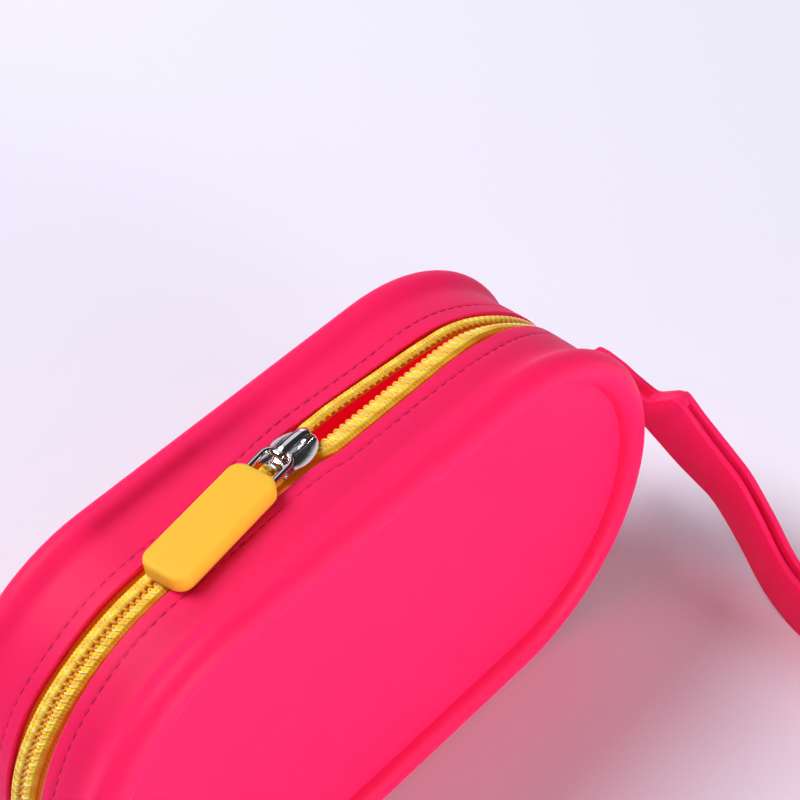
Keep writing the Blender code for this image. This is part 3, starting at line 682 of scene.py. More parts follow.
class BAG_OT_pouch(bpy.types.Operator):
    """Moulded pouch: two faces, their rim beads and the gusset with the zip's slit, in one skin"""

    bl_idname = "makeup_bag.pouch"
    bl_label = "Pouch"

    def execute(self, context):
        pouch = settings("bag_pouch")
        stations = rim_stations()
        near = [rim_section(along, -1) for along in stations]
        far = [rim_section(along, 1) for along in stations]
        half = len(near[0])
        bm = bmesh.new()

        def place(column, row):
            column %= len(stations)
            along = stations[column]
            if row < half:
                across, height = near[column][half - 1 - row]
                return rim_place(along, -across, height)
            if row > half:
                across, height = far[column][row - half - 1]
                return rim_place(along, across, height)
            return rim_place(along, 0.0, mix(GUSSET_CROWN - pouch.gusset_drop, 0.0, base_fill(along)))

        spots = bent_grid(bm, len(stations), 2 * half, place)
        # The slit's faces are marked with the second material until the normals are right.
        for column, along in enumerate(stations):
            after = stations[(column + 1) % len(stations)]
            if max(abs(along), abs(after)) > slit_end() + 1e-6 or abs(after - along) > 0.01:
                continue
            for row in (half - 1, half):
                corners = [spots[column + i, row + j] for i, j in ((0, 0), (1, 0), (1, 1), (0, 1))]
                for face in corners[0].link_faces:
                    if set(face.verts) == set(corners):
                        face.material_index = 1
        bmesh.ops.remove_doubles(bm, verts=bm.verts, dist=1e-7)
        rims = [edge for edge in bm.edges if edge.is_boundary]
        bmesh.ops.holes_fill(bm, edges=rims, sides=0)
        bmesh.ops.recalc_face_normals(bm, faces=bm.faces)
        opened = [face for face in bm.faces if face.material_index == 1]
        bmesh.ops.delete(bm, geom=opened, context="FACES")
        piece = finish_piece(
            "pouch", bm, pouch_silicone(), "bag", ["pouch_shell"], sharp=60, inside_out=True
        )
        # The wall's inside wears the inner skin, whose glow is painted.
        piece.data.materials.append(inner_skin())
        add_modifier(
            piece, "SOLIDIFY", thickness=pouch.wall, offset=-1, use_even_offset=True, material_offset=1
        )
        round_edges(piece, 0.00045, 3, 62)
        return {"FINISHED"}


class BAG_OT_tab(bpy.types.Operator):
    """Tab on the end of the pouch, a flat frame that the strap's neck goes through"""

    bl_idname = "makeup_bag.tab"
    bl_label = "Strap tab"

    def execute(self, context):
        bm = bmesh.new()
        size = Vector((TAB_TIP - TAB_STARTS, TAB_THICKNESS, TAB_TOP - TAB_LOW))
        middle = Vector(((TAB_TIP + TAB_STARTS) / 2, 0, (TAB_TOP + TAB_LOW) / 2))
        add_block(bm, size, middle)
        sides = [face for face in bm.faces if abs(face.normal.y) > 0.9]
        bmesh.ops.inset_individual(bm, faces=sides, thickness=TAB_BAR, use_even_offset=True)
        for vert in {vert for face in sides for vert in face.verts if vert.co.x < middle.x}:
            vert.co.x = SLOT_STARTS
        edges = [edge for face in sides for edge in face.edges]
        bmesh.ops.delete(bm, geom=sides, context="FACES_ONLY")
        bmesh.ops.bridge_loops(bm, edges=edges)
        corners = [
            edge
            for edge in bm.edges
            if all(abs(vert.co.x - TAB_TIP) < 1e-6 for vert in edge.verts)
            and abs(edge.verts[0].co.y - edge.verts[1].co.y) > TAB_THICKNESS / 2
        ]
        bevel_edges(bm, corners, TAB_CORNER, 6)
        piece = finish_piece("strap_tab", bm, pouch_silicone(), "bag")
        round_edges(piece, 0.0008, 3, 40)
        return {"FINISHED"}


# Zip


def chain_middle(along):
    """Middle of the closed chain, which wanders from one lip to the other on its way to the slider."""
    if along < -0.050:
        return CHAIN_LEFT + CHAIN_RETURN * smooth_step((-along - 0.056) / 0.054)
    return mix(CHAIN_LEFT, CHAIN_AT_SLIDER, smooth_step((along + 0.050) / 0.054))


def row_edge(along, side):
    """Inner edge of the near row of coil (side -1) or of the far row (side 1)."""
    closed = chain_middle(along) + side * ROW_GAP / 2
    if along < 0:
        return closed
    closing = smooth_step((along - 0.050) / 0.028)
    gap = mix(OPEN_GAP, EASED_GAP, min(1.0, max(0.0, (along - 0.016) / 0.030)))
    opened = OPEN_NEAR_EDGE - TOP_END_SHIFT * closing
    if side > 0:
        opened += mix(gap, ROW_GAP, closing)
    return mix(closed, opened, smooth_step(along / 0.009))


def row_width(along, side):
    """Width of a row. The near one lies flatter, so it looks wider, where the zip is open."""
    width = settings("bag_zip").row_width
    if side > 0:
        return width
    opened = smooth_step(along / 0.009) * (1 - smooth_step((along - 0.045) / 0.020))
    return width + NEAR_ROW_OPEN_EXTRA * opened


def row_bottom():
    pouch = settings("bag_pouch")
    return -(pouch.gusset_drop + pouch.wall)


def row_end():
    return slit_end() - 0.0048


def row_turns():
    return round(2 * row_end() / settings("bag_zip").pitch)


def wound_row(side):
    """A row of the coil: a filament wound into a helix, flattened and laid along the rim."""
    sizes = settings("bag_zip")
    steps = 12
    turns = row_turns()
    pitch = 2 * row_end() / turns
    thick = sizes.filament / 2
    half_width = sizes.row_width / 2
    half_height = sizes.row_height / 2
    bm = bmesh.new()
    ring = bmesh.ops.create_circle(bm, segments=6, radius=thick)
    upright = Matrix.Rotation(math.pi / 2, 3, "X")
    bmesh.ops.rotate(bm, verts=ring["verts"], cent=(0, 0, 0), matrix=upright)
    bmesh.ops.translate(bm, verts=ring["verts"], vec=(-row_end(), 0, 1.0))
    bmesh.ops.spin(
        bm,
        geom=bm.edges[:],
        cent=(0, 0, 0),
        axis=(1, 0, 0),
        dvec=(pitch / steps, 0, 0),
        angle=math.tau * turns,
        steps=steps * turns,
    )
    ends = [edge for edge in bm.edges if edge.is_boundary]
    bmesh.ops.holes_fill(bm, edges=ends, sides=0)
    for vert in bm.verts:
        along = min(row_end() + thick, max(-row_end() - thick, vert.co.x))
        turned = math.atan2(vert.co.y, vert.co.z)
        out = math.hypot(vert.co.y, vert.co.z) - 1.0
        across = math.sin(turned) * (half_width - thick + out)
        height = math.cos(turned) * (half_height - thick + out)
        if side * across < 0:
            # Where the zip is closed, the heads of one row reach between the heads of the other.
            across *= 1 + COIL_BITE / half_width * (1 - smooth_step((along + 0.002) / 0.006))
        middle = row_edge(along, side) + side * half_width
        vert.co = rim_place(along, middle + across, row_bottom() + half_height + height)
    return bm


def row_tube(bm, side, steps, ring_at):
    """A tube along a row with so many steps; ring_at(along) gives its points as (beside, height)."""
    sections = []
    for index in range(steps + 1):
        along = mix(-row_end(), row_end(), index / steps)
        edge = row_edge(along, side)
        sections.append([rim_place(along, edge + side * beside, height) for beside, height in ring_at(along)])
    sweep(bm, sections)


def filler_cord(side):
    """The cord inside the coil that the sewing threads pull the turns down on."""
    sizes = settings("bag_zip")
    middle = row_bottom() + sizes.row_height / 2
    ring = [(sizes.row_width * (0.52 + 0.30 * c), middle + sizes.row_height * 0.27 * s) for c, s in circle(8)]
    bm = bmesh.new()
    row_tube(bm, side, row_turns(), lambda along: ring)
    return bm


def band_start(along):
    """Distance of the sewing threads from the row's inner edge. They hide more where the zip is closed."""
    return mix(BAND_STARTS_CLOSED, BAND_STARTS, smooth_step((along + 0.002) / 0.006))


def sewn_band(side):
    """The two columns of lock stitches that bind the coil to its tape, as one knotted band.

    Each column has a rib on every turn. The outer one is half a turn late, and a valley parts the two.
    """
    turns = row_turns()
    top = row_bottom() + settings("bag_zip").row_height
    low = row_bottom() + 0.05 * MM

    def ring_at(along):
        beat = (along + row_end()) / row_end() * turns
        wide = row_width(along, side) + 0.35 * MM
        start = band_start(along)
        ring = []
        for step in range(13):
            share = step / 12
            column = 0.5 * smooth_step((share - 0.44) / 0.14)
            slant = 0.5 * (share - 0.5) * side
            place = (beat + column + slant + 0.5) % 1.0 - 0.5
            rib = math.sqrt(1 - (place / 0.52) ** 2)
            valley = math.exp(-(((share - 0.51) / 0.07) ** 2))
            shoulders = 0.55 * (1 - smooth_step(share / 0.16)) + 0.8 * smooth_step((share - 0.7) / 0.3)
            height = top + (0.34 * rib - 0.26 - 0.16 * valley - shoulders) * MM
            ring.append((mix(start, wide, share) + 0.14 * MM * rib * (share > 0.9), height))
        return ring + [(wide * 0.96, low), (start + 0.2 * MM, low)]

    bm = bmesh.new()
    row_tube(bm, side, 12 * turns, ring_at)
    return bm


def crossing_stitches(side):
    """The threads that cross each turn of the coil, one short arc on every turn. Their lighter colour, set
    where the pieces are finished, is a painted highlight.
    """
    turns = row_turns()
    pitch = 2 * row_end() / turns
    top = row_bottom() + settings("bag_zip").row_height
    bm = bmesh.new()
    for index in range(turns):
        middle = -row_end() + pitch * (index + 0.5)
        wide = row_width(middle, side)
        sections = []
        for step in range(6):
            t = step / 5
            along = middle + pitch * (0.5 * (t - 0.5) + 0.16 * (2 * t - 1) ** 2)
            place = row_edge(along, side) + side * mix(band_start(along) - 0.2 * MM, wide * 0.95, t)
            height = top + (0.14 - 0.50 * (2 * t - 1) ** 4) * MM
            fat = 0.17 * MM * math.sqrt(max(0.25, 1 - (2 * t - 1) ** 4))
            sections.append([rim_place(along + fat * c, place, height + fat * s) for c, s in circle(5)])
        sweep(bm, sections)
    return bm


class BAG_OT_coils(bpy.types.Operator):
    """Two rows of wound nylon coil with the sewing threads that hold them to the tapes"""

    bl_idname = "makeup_bag.coils"
    bl_label = "Zip coils"

    def execute(self, context):
        sewn = paint("zip_thread")
        filament = nylon_monofilament(paint("coil"))
        thread = spun_polyester("zip_sewing_thread", sewn)
        # Painted highlight: the crossing stitches are real threads, drawn in a copy of the thread colour
        # lightened halfway to white.
        bright = spun_polyester("zip_top_thread", tuple(mix(c, 1.0, 0.55) for c in sewn))
        for side, word in ((-1, "near"), (1, "far")):
            finish_piece(word + "_row", wound_row(side), filament, "bag", [word + "_coil"])
            finish_piece(word + "_filler_cord", filler_cord(side), thread, "bag")
            finish_piece(word + "_row_stitching", sewn_band(side), thread, "bag")
            finish_piece(word + "_crossing_stitches", crossing_stitches(side), bright, "bag")
        return {"FINISHED"}


class BAG_OT_tapes(bpy.types.Operator):
    """Two woven tapes, sewn under the lips, that carry the rows of coil"""

    bl_idname = "makeup_bag.tapes"
    bl_label = "Zip tapes"

    def execute(self, context):
        cloth = woven_polyester_tape(paint("tape"))
        reach = slit_end() + TAPE_PAST_SLIT
        top = row_bottom() - TAPE_BELOW_ROW
        for side, word in ((-1, "near"), (1, "far")):

            def place(column, row):
                along = mix(-reach, reach, column / 120)
                inner = row_edge(along, side) + side * TAPE_UNDER_ROW
                outer = side * (lip(along, side) + TAPE_UNDER_LIP)
                return rim_place(along, mix(inner, outer, row / 8), top)

            bm = bmesh.new()
            bent_grid(bm, 120, 8, place)
            bmesh.ops.recalc_face_normals(bm, faces=bm.faces)
            if sum(face.normal.z for face in bm.faces) < 0:
                bmesh.ops.reverse_faces(bm, faces=bm.faces)
            name = word + "_zip_tape"
            piece = finish_piece(name, bm, cloth, "bag", [word + "_tape"], inside_out=True)
            add_modifier(piece, "SOLIDIFY", thickness=settings("bag_zip").tape_thickness, offset=-1)
        return {"FINISHED"}


class BAG_OT_stops(bpy.types.Operator):
    """Metal stops pressed on both ends of the chain"""

    bl_idname = "makeup_bag.stops"
    bl_label = "Zip stops"

    def execute(self, context):
        for word in ("bottom_stop", "near_top_stop", "far_top_stop"):
            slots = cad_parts[word].data.materials
            slots.clear()
            slots.append(metal())
        return {"FINISHED"}


class BAG_OT_stitches(bpy.types.Operator):
    """Stitches along both lips that sew the tapes to the pouch"""

    bl_idname = "makeup_bag.stitches"
    bl_label = "Lip stitches"

    def execute(self, context):
        pitch = settings("bag_zip").stitch_pitch
        thread = spun_polyester("lip_sewing_thread", paint("thread"))
        top = -settings("bag_pouch").gusset_drop - 0.02 * MM
        for side, word in ((-1, "near"), (1, "far")):
            bm = bmesh.new()
            for index in range(round(2 * slit_end() / pitch)):
                start = -slit_end() + pitch * (index + 0.15)
                sections = []
                for step in range(6):
                    t = step / 5
                    along = start + pitch * 0.93 * t
                    place = side * (lip(along, side) + stitch_line(along) + 0.12 * MM * (t - 0.5))
                    height = top - 0.3 * MM * (2 * t - 1) ** 4
                    wide = 0.2 * MM * math.sqrt(max(0.15, 1 - (2 * t - 1) ** 4))
                    sections.append(
                        [rim_place(along, place + wide * c, height + wide * 0.7 * s) for c, s in circle(6)]
                    )
                sweep(bm, sections)
            finish_piece(word + "_lip_stitches", bm, thread, "bag")
        return {"FINISHED"}


# Slider and puller

# The slider's place and turn, the heights over the bead crests of its top plate's rim and its lower plate's
# top, its wedge's start, end and play between the rows, and the block under the crown's barrel.
SLIDER_PLACE = (0, 0.0022, 0.098)
SLIDER_TURN = math.radians(3.0)
PLATE_RIM = -0.0018
LOWER_PLATE = -0.0054
WEDGE_X = (2.9 * MM, 5.4 * MM)
WEDGE_PLAY = 0.3 * MM
FOOT_SIZE = Vector((1.1, 2.6, 2.2)) * MM
FOOT_PLACE = Vector((-3.75, 0, -0.1)) * MM

# The puller's place and turn on the slider, the ring of its link, and the grip's start, corners and the
# rounding of its upper (1) and lower (-1) rim.
PULL_PLACE = (-0.0018, 0.0, 0.00055)
PULL_TURN = math.radians(5.0)
LINK_HALF_WIDTH = 0.0037
LINK_CORNER = 0.0024
LINK_FRONT = -0.0008
LINK_BACK = -0.0168
GRIP_STARTS = -0.0084
GRIP_CORNER = 0.0034
GRIP_RIMS = {1: 0.0011, -1: 0.0007}


def slider_axes():
    """The slider's own axes: X along the zip, Z up, its origin at the bead crests' height."""
    return Matrix.Translation(SLIDER_PLACE) @ Matrix.Rotation(SLIDER_TURN, 4, "Z")


def pull_axes():
    """The puller's axes: Y is the bar through the crown, and the grip lies along -X."""
    return slider_axes() @ Matrix.Translation(PULL_PLACE) @ Matrix.Rotation(PULL_TURN, 4, "Z")


# The top plate, in millimetres: x, half the width and the height of its middle over its rim's underside.
PLATE_STATIONS = (
    (6.75, 0.8, 0.35),
    (6.55, 1.6, 0.60),
    (6.05, 2.55, 0.80),
    (5.1, 3.5, 0.95),
    (4.0, 4.2, 1.10),
    (2.6, 4.85, 1.20),
    (1.2, 5.2, 1.30),
    (0.0, 5.3, 1.30),
    (-1.2, 5.1, 1.30),
    (-2.3, 4.6, 1.25),
    (-3.3, 4.25, 1.15),
    (-4.3, 4.2, 1.10),
    (-5.3, 4.4, 1.12),
    (-6.0, 4.6, 1.2),
    (-6.3, 4.45, 1.2),
)

# Half of the top plate's section: share of the half width, share of the rise from the rim to the middle.
WING_SECTION = (
    (0.97, -0.45),
    (1.0, -0.25),
    (0.985, 0.0),
    (0.90, 0.04),
    (0.76, 0.18),
    (0.60, 0.42),
    (0.44, 0.70),
    (0.26, 0.92),
    (0.10, 1.0),
)

# The crown's bar, in millimetres in the slider's axes: x, height over the crests, half its width, thickness.
CROWN_STATIONS = (
    (6.35, -1.45, 1.35, 0.8),
    (6.1, -0.35, 1.45, 0.9),
    (5.45, 0.70, 1.45, 0.95),
    (4.3, 1.38, 1.42, 0.95),
    (2.8, 1.68, 1.40, 0.9),
    (1.0, 1.78, 1.40, 0.9),
    (-1.0, 1.74, 1.40, 0.9),
    (-2.5, 1.52, 1.42, 0.9),
    (-3.3, 1.2, 1.45, 0.9),
)

# The crown's barrel, and along it the shares of its half width and of its radius.
BARREL_PLACE = Vector((-3.6, 0, 0.85)) * MM
BARREL_RADIUS = 1.05 * MM
BARREL_HALF_WIDTH = 1.95 * MM
BARREL_SECTION = (
    (-1.0, 0.55),
    (-0.97, 0.85),
    (-0.88, 1.0),
    (0.0, 1.03),
    (0.88, 1.0),
    (0.97, 0.85),
    (1.0, 0.55),
)


def plate_sections(rim, share=1.0):
    """Sections of a plate from its nose to its tail, its rim's underside at a height over the crests."""
    sections = []
    for x, half_width, rise in PLATE_STATIONS:
        side = []
        for wide, lift in WING_SECTION:
            height = 0.32 + lift * (rise - 0.32 if lift > 0 else 0.7)
            side.append((half_width * wide * MM * share, rim + height * MM))
        ring = [Vector((x * MM * share, -y, height)) for y, height in side]
        ring += [Vector((x * MM * share, y, height)) for y, height in reversed(side)]
        sections.append(ring)
    return sections


def arch_section(before, point, after, half, thickness):
    """A cut across the crown's bar: a flat ridge with a wide chamfer down to each side."""
    out = Vector((0, 1, 0)).cross((after - before).normalized())
    shape = (
        (half * 0.92, -0.5),
        (half, -0.36),
        (half, -0.02),
        (half * 0.93, 0.06),
        (half * 0.40, 0.46),
        (half * 0.30, 0.5),
    )
    ring = [point + Vector((0, y, 0)) + out * o * thickness for y, o in shape]
    ring += [point + Vector((0, -y, 0)) + out * o * thickness for y, o in reversed(shape)]
    return ring


class BAG_OT_slider(bpy.types.Operator):
    """Cast slider: a domed top plate with hollow wings, the wedge, the bottom plate and the arched crown"""

    bl_idname = "makeup_bag.slider"
    bl_label = "Slider"

    def execute(self, context):
        bm = bmesh.new()
        sweep(bm, plate_sections(PLATE_RIM))
        lower = plate_sections(0.0, 0.86)
        for section in lower:
            for point in section:
                point.z = LOWER_PLATE - point.z * 0.7
        sweep(bm, lower)
        corners = []
        for x, side in zip(WEDGE_X + WEDGE_X[::-1], (-1, -1, 1, 1)):
            y = row_edge(x, side) - side * WEDGE_PLAY
            corners.append(slider_axes().inverted() @ Vector((x, y, SLIDER_PLACE[2])))
        heights = (LOWER_PLATE - 0.0001, PLATE_RIM + 0.0005)
        sweep(bm, [[Vector((corner.x, corner.y, height)) for corner in corners] for height in heights])
        points = [Vector((x * MM, 0, z * MM)) for x, z, _, _ in CROWN_STATIONS]
        ends = [points[0], *points, points[-1]]
        sections = []
        for index, (_, _, half, thickness) in enumerate(CROWN_STATIONS):
            sections.append(arch_section(*ends[index : index + 3], half * MM, thickness * MM))
        sweep(bm, sections)
        sections = []
        for y, share in BARREL_SECTION:
            middle = BARREL_PLACE + Vector((0, y * BARREL_HALF_WIDTH, 0))
            sections.append([middle + Vector((c, 0, s)) * BARREL_RADIUS * share for c, s in circle(16)])
        sweep(bm, sections)
        add_block(bm, FOOT_SIZE, FOOT_PLACE)
        bmesh.ops.transform(bm, verts=bm.verts, matrix=slider_axes())
        piece = finish_piece("slider", bm, metal(), "slider", ["slider_body"], sharp=45)
        round_edges(piece, 0.00012, 2, 50)
        return {"FINISHED"}


class BAG_OT_link(bpy.types.Operator):
    """Wire link: a rounded ring through the crown that the grip is moulded onto"""

    bl_idname = "makeup_bag.link"
    bl_label = "Link"

    def execute(self, context):
        radius = settings("bag_slider").wire / 2
        inner = LINK_HALF_WIDTH - LINK_CORNER
        centres = (
            (LINK_FRONT - LINK_CORNER, -inner),
            (LINK_FRONT - LINK_CORNER, inner),
            (LINK_BACK + LINK_CORNER, inner),
            (LINK_BACK + LINK_CORNER, -inner),
        )
        sections = []
        for corner, centre in enumerate(centres):
            for step in range(7):
                angle = math.radians(90 * (corner - 1) + 15 * step)
                out = Vector((math.cos(angle), math.sin(angle), 0))
                point = Vector((*centre, 0)) + out * LINK_CORNER
                sections.append([point + (out * c + UP * s) * radius for c, s in circle(12)])
        bm = bmesh.new()
        sweep(bm, sections, closed=True)
        bmesh.ops.transform(bm, verts=bm.verts, matrix=pull_axes())
        finish_piece("link", bm, metal(), "puller", ["pull_link"])
        return {"FINISHED"}


class BAG_OT_grip(bpy.types.Operator):
    """Moulded grip on the link, a flat bar with rounded corners and a bevelled rim"""

    bl_idname = "makeup_bag.grip"
    bl_label = "Grip"

    def execute(self, context):
        sizes = settings("bag_slider")
        bm = bmesh.new()
        size = Vector((sizes.grip_length, sizes.grip_width, sizes.grip_thickness))
        add_block(bm, size, (GRIP_STARTS - sizes.grip_length / 2, 0, 0))
        upright = [e for e in bm.edges if abs(e.verts[0].co.z - e.verts[1].co.z) > size.z / 2]
        bevel_edges(bm, upright, GRIP_CORNER, 8)
        for sign, rounding in GRIP_RIMS.items():
            rim = [e for e in bm.edges if all(v.co.z * sign > size.z / 2 - 1e-6 for v in e.verts)]
            bevel_edges(bm, rim, rounding, 4)
        bmesh.ops.transform(bm, verts=bm.verts, matrix=pull_axes())
        rubber = moulded_silicone("moulded_grip_silicone", paint("grip"), roughness=0.46, glow=0.2)
        finish_piece("grip", bm, rubber, "puller", ["pull_grip"], sharp=50)
        return {"FINISHED"}


# Strap


def through(rows, steps):
    """Rows of numbers on a smooth curve through the given ones."""
    ends = [rows[0], *rows, rows[-1]]
    found = []
    for index in range(len(rows) - 1):
        for step in range(steps):
            t = step / steps
            row = []
            for p, q, r, s in zip(*ends[index : index + 4]):
                bend = (2 * p - 5 * q + 4 * r - s) * t**2 + (3 * q - p - 3 * r + s) * t**3
                row.append((2 * q + (r - p) * t + bend) / 2)
            found.append(tuple(row))
    return found + [rows[-1]]


def upward(along):
    """The direction square to a line that points most nearly up."""
    return along.cross(UP).cross(along).normalized()


def strap_rows():
    """Rows down the strap: middle (x, y, z), half the spacing of its layers, height of the band, its up."""
    sizes = settings("bag_strap")
    layers = sizes.thickness
    neck = TAB_BAR / 2 + NECK_PLAY + layers / 2
    bar_x = TAB_TIP - TAB_BAR / 2
    floor = sizes.width / 2
    route = []
    for aside, way, fall in STRAP_STATIONS:
        y = -mix(sizes.neck, sizes.reach, way)
        route.append(Vector((bar_x + sizes.reach * aside, y, mix(SLOT_MIDDLE, floor, fall))))
    first_up = upward(route[1] - route[0])
    rows = []
    for way, fall, height in NECK_STATIONS:
        share = smooth_step(way)
        place = (mix(bar_x, route[0].x, share), mix(TURN_Y, -sizes.neck, way), mix(SLOT_MIDDLE, floor, fall))
        rows.append((*place, mix(neck, layers, share), height, *UP.lerp(first_up, share).normalized()))
    loop_y = -mix(sizes.neck, sizes.reach, LOOP_STARTS)
    for index, point in enumerate(route):
        up = upward(route[min(len(route) - 1, index + 2)] - route[max(0, index - 2)])
        opened = max(0.0, (loop_y - point.y) / (loop_y + sizes.reach))
        swell = math.sin(math.pi * 0.62 * opened) ** 1.4
        rows.append((*point, mix(layers, sizes.loop, swell), sizes.width, *up))
    return through(rows, 4)


def strap_line():
    """The closed middle line of the band, as (point, height, up)."""
    rows = strap_rows()
    ends = [rows[0], *rows, rows[-1]]
    sides = {1: [], -1: []}
    for index, (x, y, z, half, height, *up) in enumerate(rows):
        before, after = ends[index], ends[index + 2]
        heading = Vector((after[0] - before[0], after[1] - before[1])).normalized()
        if index == 0:
            heading = Vector((0, -1))
        for side, line in sides.items():
            aside = Vector((-heading.y, heading.x, 0)) * half * side
            line.append((Vector((x, y, z)) + aside, height, Vector(up)))
    turns = []
    last_heading = Vector((rows[-1][0] - rows[-2][0], rows[-1][1] - rows[-2][1], 0)).normalized()
    for row, ahead, steps in ((rows[-1], last_heading, 14), (rows[0], Vector((0, 1, 0)), 10)):
        across = Vector((-ahead.y, ahead.x, 0))
        turn = []
        for step in range(1, steps):
            angle = math.pi * step / steps
            offset = (across * math.cos(angle) + ahead * math.sin(angle)) * row[3]
            turn.append((Vector(row[:3]) + offset, row[4], Vector(row[5:])))
        turns.append(turn)
    return sides[1] + turns[0] + sides[-1][::-1] + turns[1]


def band_ring(along, point, up, height, thickness, corner):
    """A cut across the band: a tall rectangle with round corners."""
    side = along.cross(up).normalized()
    ring = []
    for quarter, (s, h) in enumerate(((1, 1), (-1, 1), (-1, -1), (1, -1))):
        for step in range(4):
            angle = math.radians(90 * quarter + 30 * step)
            across = s * (thickness / 2 - corner) + corner * math.cos(angle)
            rise = h * (height / 2 - corner) + corner * math.sin(angle)
            ring.append(point + side * across + up * rise)
    return ring


class BAG_OT_strap(bpy.types.Operator):
    """Wrist strap: one band that loops through the tab, joins in its head and opens into a loop"""

    bl_idname = "makeup_bag.strap"
    bl_label = "Wrist strap"

    def execute(self, context):
        sizes = settings("bag_strap")
        line = strap_line()
        sections = []
        for index, (point, height, up) in enumerate(line):
            along = line[(index + 1) % len(line)][0] - line[index - 1][0]
            sections.append(band_ring(along, point, up, height, sizes.thickness, 0.0005))
        bm = bmesh.new()
        sweep(bm, sections, closed=True)
        finish_piece("strap", bm, pouch_silicone(), "strap", ["wrist_strap"])

        head = [row for row in strap_rows() if HEAD_ENDS < row[1] < -sizes.neck * 0.83]
        ends = [head[0], *head, head[-1]]
        sections = []
        for index, (x, y, z, half, height, *up) in enumerate(head):
            along = Vector(ends[index + 2][:3]) - Vector(ends[index][:3])
            near = min(1.0, (index + 0.6) / 6)
            far = min(1.0, (len(head) - 0.4 - index) / 4)
            wide = 2 * half + sizes.thickness * mix(0.2, 1.06, math.sqrt(1 - (1 - near) ** 2))
            tall = height + 0.0001 - 0.004 * (1 - math.sqrt(1 - (1 - far) ** 2))
            sections.append(band_ring(along, Vector((x, y, z)), Vector(up), tall, wide, 0.0008))
        bm = bmesh.new()
        sweep(bm, sections)
        finish_piece("strap_head", bm, pouch_silicone(), "strap", sharp=50)
        return {"FINISHED"}


# Stage


# The lamps: place, size, power and tint.
LAMPS = {
    "top_softbox": ((-0.47, 1.12, 1.77), 1.35, 45.5, (1.0, 0.99, 1.0)),
    "front_fill": ((-0.02, -1.3, 0.25), 0.5, 14.0, (1.0, 0.98, 0.97)),
    "side_window": ((0.87, 0.57, 0.38), 0.5, 0.7, (0.98, 0.96, 1.0)),
}
LAMPS_AIM = Vector((0.0, 0.0, 0.05))
CAMERA_AIM = Vector((0.0312, 0.0, 0.0892))
ROOM_TINT = (0.94, 0.95, 1.0, 1)


def add_table():
    bm = bmesh.new()
    bmesh.ops.create_grid(bm, x_segments=1, y_segments=1, size=3.0)
    mesh = bpy.data.meshes.new("table")
    bm.to_mesh(mesh)
    bm.free()
    mesh.materials.append(coated_paper(paint("table")))
    add_object("table", mesh)


def add_room():
    """An even, dim sky. Mirrors see a darker room with one pale panel high up behind the bag."""
    world = bpy.data.worlds.new("soft_room")
    bpy.context.scene.world = world
    world.use_nodes = True
    world.node_tree.nodes.clear()
    sky = add_node(world, "Background", {"Color": ROOM_TINT, "Strength": 0.15})
    way = add_node(world, "TexCoord").outputs["Generated"]
    facing = add_node(world, "VectorMath", {"operation": "DOT_PRODUCT", 1: (0.45, 0.55, 0.70)}, {0: way})
    edges = {"From Min": 0.89, "From Max": 0.985, "To Min": 0.03, "To Max": 0.85}
    wall = add_node(
        world, "MapRange", {"interpolation_type": "SMOOTHSTEP", **edges}, {"Value": facing.outputs["Value"]}
    )
    room = add_node(world, "Background", {"Color": ROOM_TINT}, {"Strength": wall.outputs["Result"]})
    glossy = add_node(world, "LightPath").outputs["Is Glossy Ray"]
    seen = add_node(world, "MixShader", {}, {0: glossy, 1: sky.outputs[0], 2: room.outputs[0]})
    add_node(world, "OutputWorld", {}, {"Surface": seen.outputs[0]})


def add_lamps():
    for name, (place, size, power, tint) in LAMPS.items():
        lamp = bpy.data.lights.new(name, "AREA")
        lamp.shape = "DISK"
        lamp.size = size
        lamp.energy = power
        lamp.color = tint
        rig = add_object(name, lamp)
        rig.location = place
        rig.rotation_euler = (LAMPS_AIM - Vector(place)).to_track_quat("-Z", "Y").to_euler()


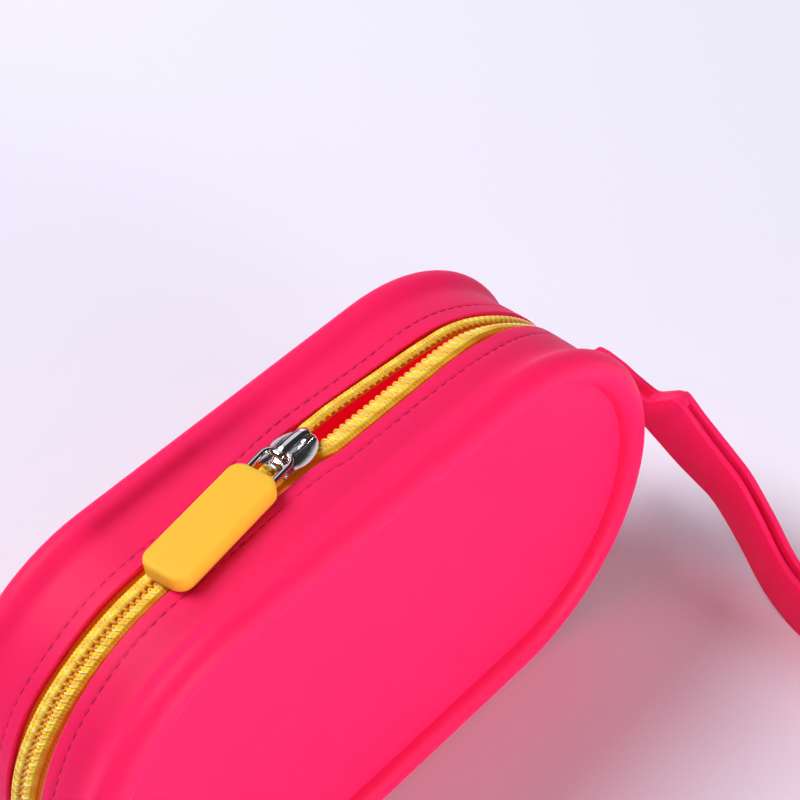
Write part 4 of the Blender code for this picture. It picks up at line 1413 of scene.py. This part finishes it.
def add_camera():
    stage = settings("bag_stage")
    camera = bpy.data.cameras.new("camera")
    camera.lens = stage.lens
    camera.sensor_width = 36.0
    camera.clip_start = 0.01
    camera.clip_end = 20.0
    turned = Matrix.Rotation(stage.azimuth, 4, "Z")
    turned = turned @ Matrix.Rotation(math.pi / 2 - stage.elevation, 4, "X")
    turned = turned @ Matrix.Rotation(stage.roll, 4, "Z")
    rig = add_object("camera", camera)
    rig.matrix_world = Matrix.Translation(CAMERA_AIM) @ turned @ Matrix.Translation(UP * stage.distance)
    bpy.context.scene.camera = rig


class BAG_OT_stage(bpy.types.Operator):
    """Plain table, soft light and the camera at the photograph's angle"""

    bl_idname = "makeup_bag.stage"
    bl_label = "Stage"

    def execute(self, context):
        add_table()
        add_room()
        add_lamps()
        add_camera()
        context.scene.view_settings.view_transform = "Standard"
        return {"FINISHED"}


class BAG_PT_panel(bpy.types.Panel):
    """Sizes, finishes and pieces of the makeup bag"""

    bl_idname = "BAG_PT_panel"
    bl_label = "Makeup bag"
    bl_space_type = "VIEW_3D"
    bl_region_type = "UI"
    bl_category = "Makeup bag"

    def draw(self, context):
        for group, kind in GROUPS.items():
            box = self.layout.box()
            for name in kind.__annotations__:
                box.prop(getattr(context.scene, group), name)
        for operator in OPERATORS:
            self.layout.operator(operator.bl_idname)


OPERATORS = (
    BAG_OT_stage,
    BAG_OT_pouch,
    BAG_OT_tab,
    BAG_OT_tapes,
    BAG_OT_coils,
    BAG_OT_stops,
    BAG_OT_stitches,
    BAG_OT_slider,
    BAG_OT_link,
    BAG_OT_grip,
    BAG_OT_strap,
)


def register():
    for group, kind in GROUPS.items():
        bpy.utils.register_class(kind)
        setattr(bpy.types.Scene, group, bpy.props.PointerProperty(type=kind))
    for kind in (*OPERATORS, BAG_PT_panel):
        bpy.utils.register_class(kind)


def unregister():
    for kind in (BAG_PT_panel, *reversed(OPERATORS)):
        bpy.utils.unregister_class(kind)
    for group, kind in GROUPS.items():
        delattr(bpy.types.Scene, group)
        bpy.utils.unregister_class(kind)


def main():
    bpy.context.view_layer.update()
    register()
    for operator in OPERATORS:
        group, name = operator.bl_idname.split(".")
        getattr(getattr(bpy.ops, group), name)()


if __name__ == "__main__":
    main()
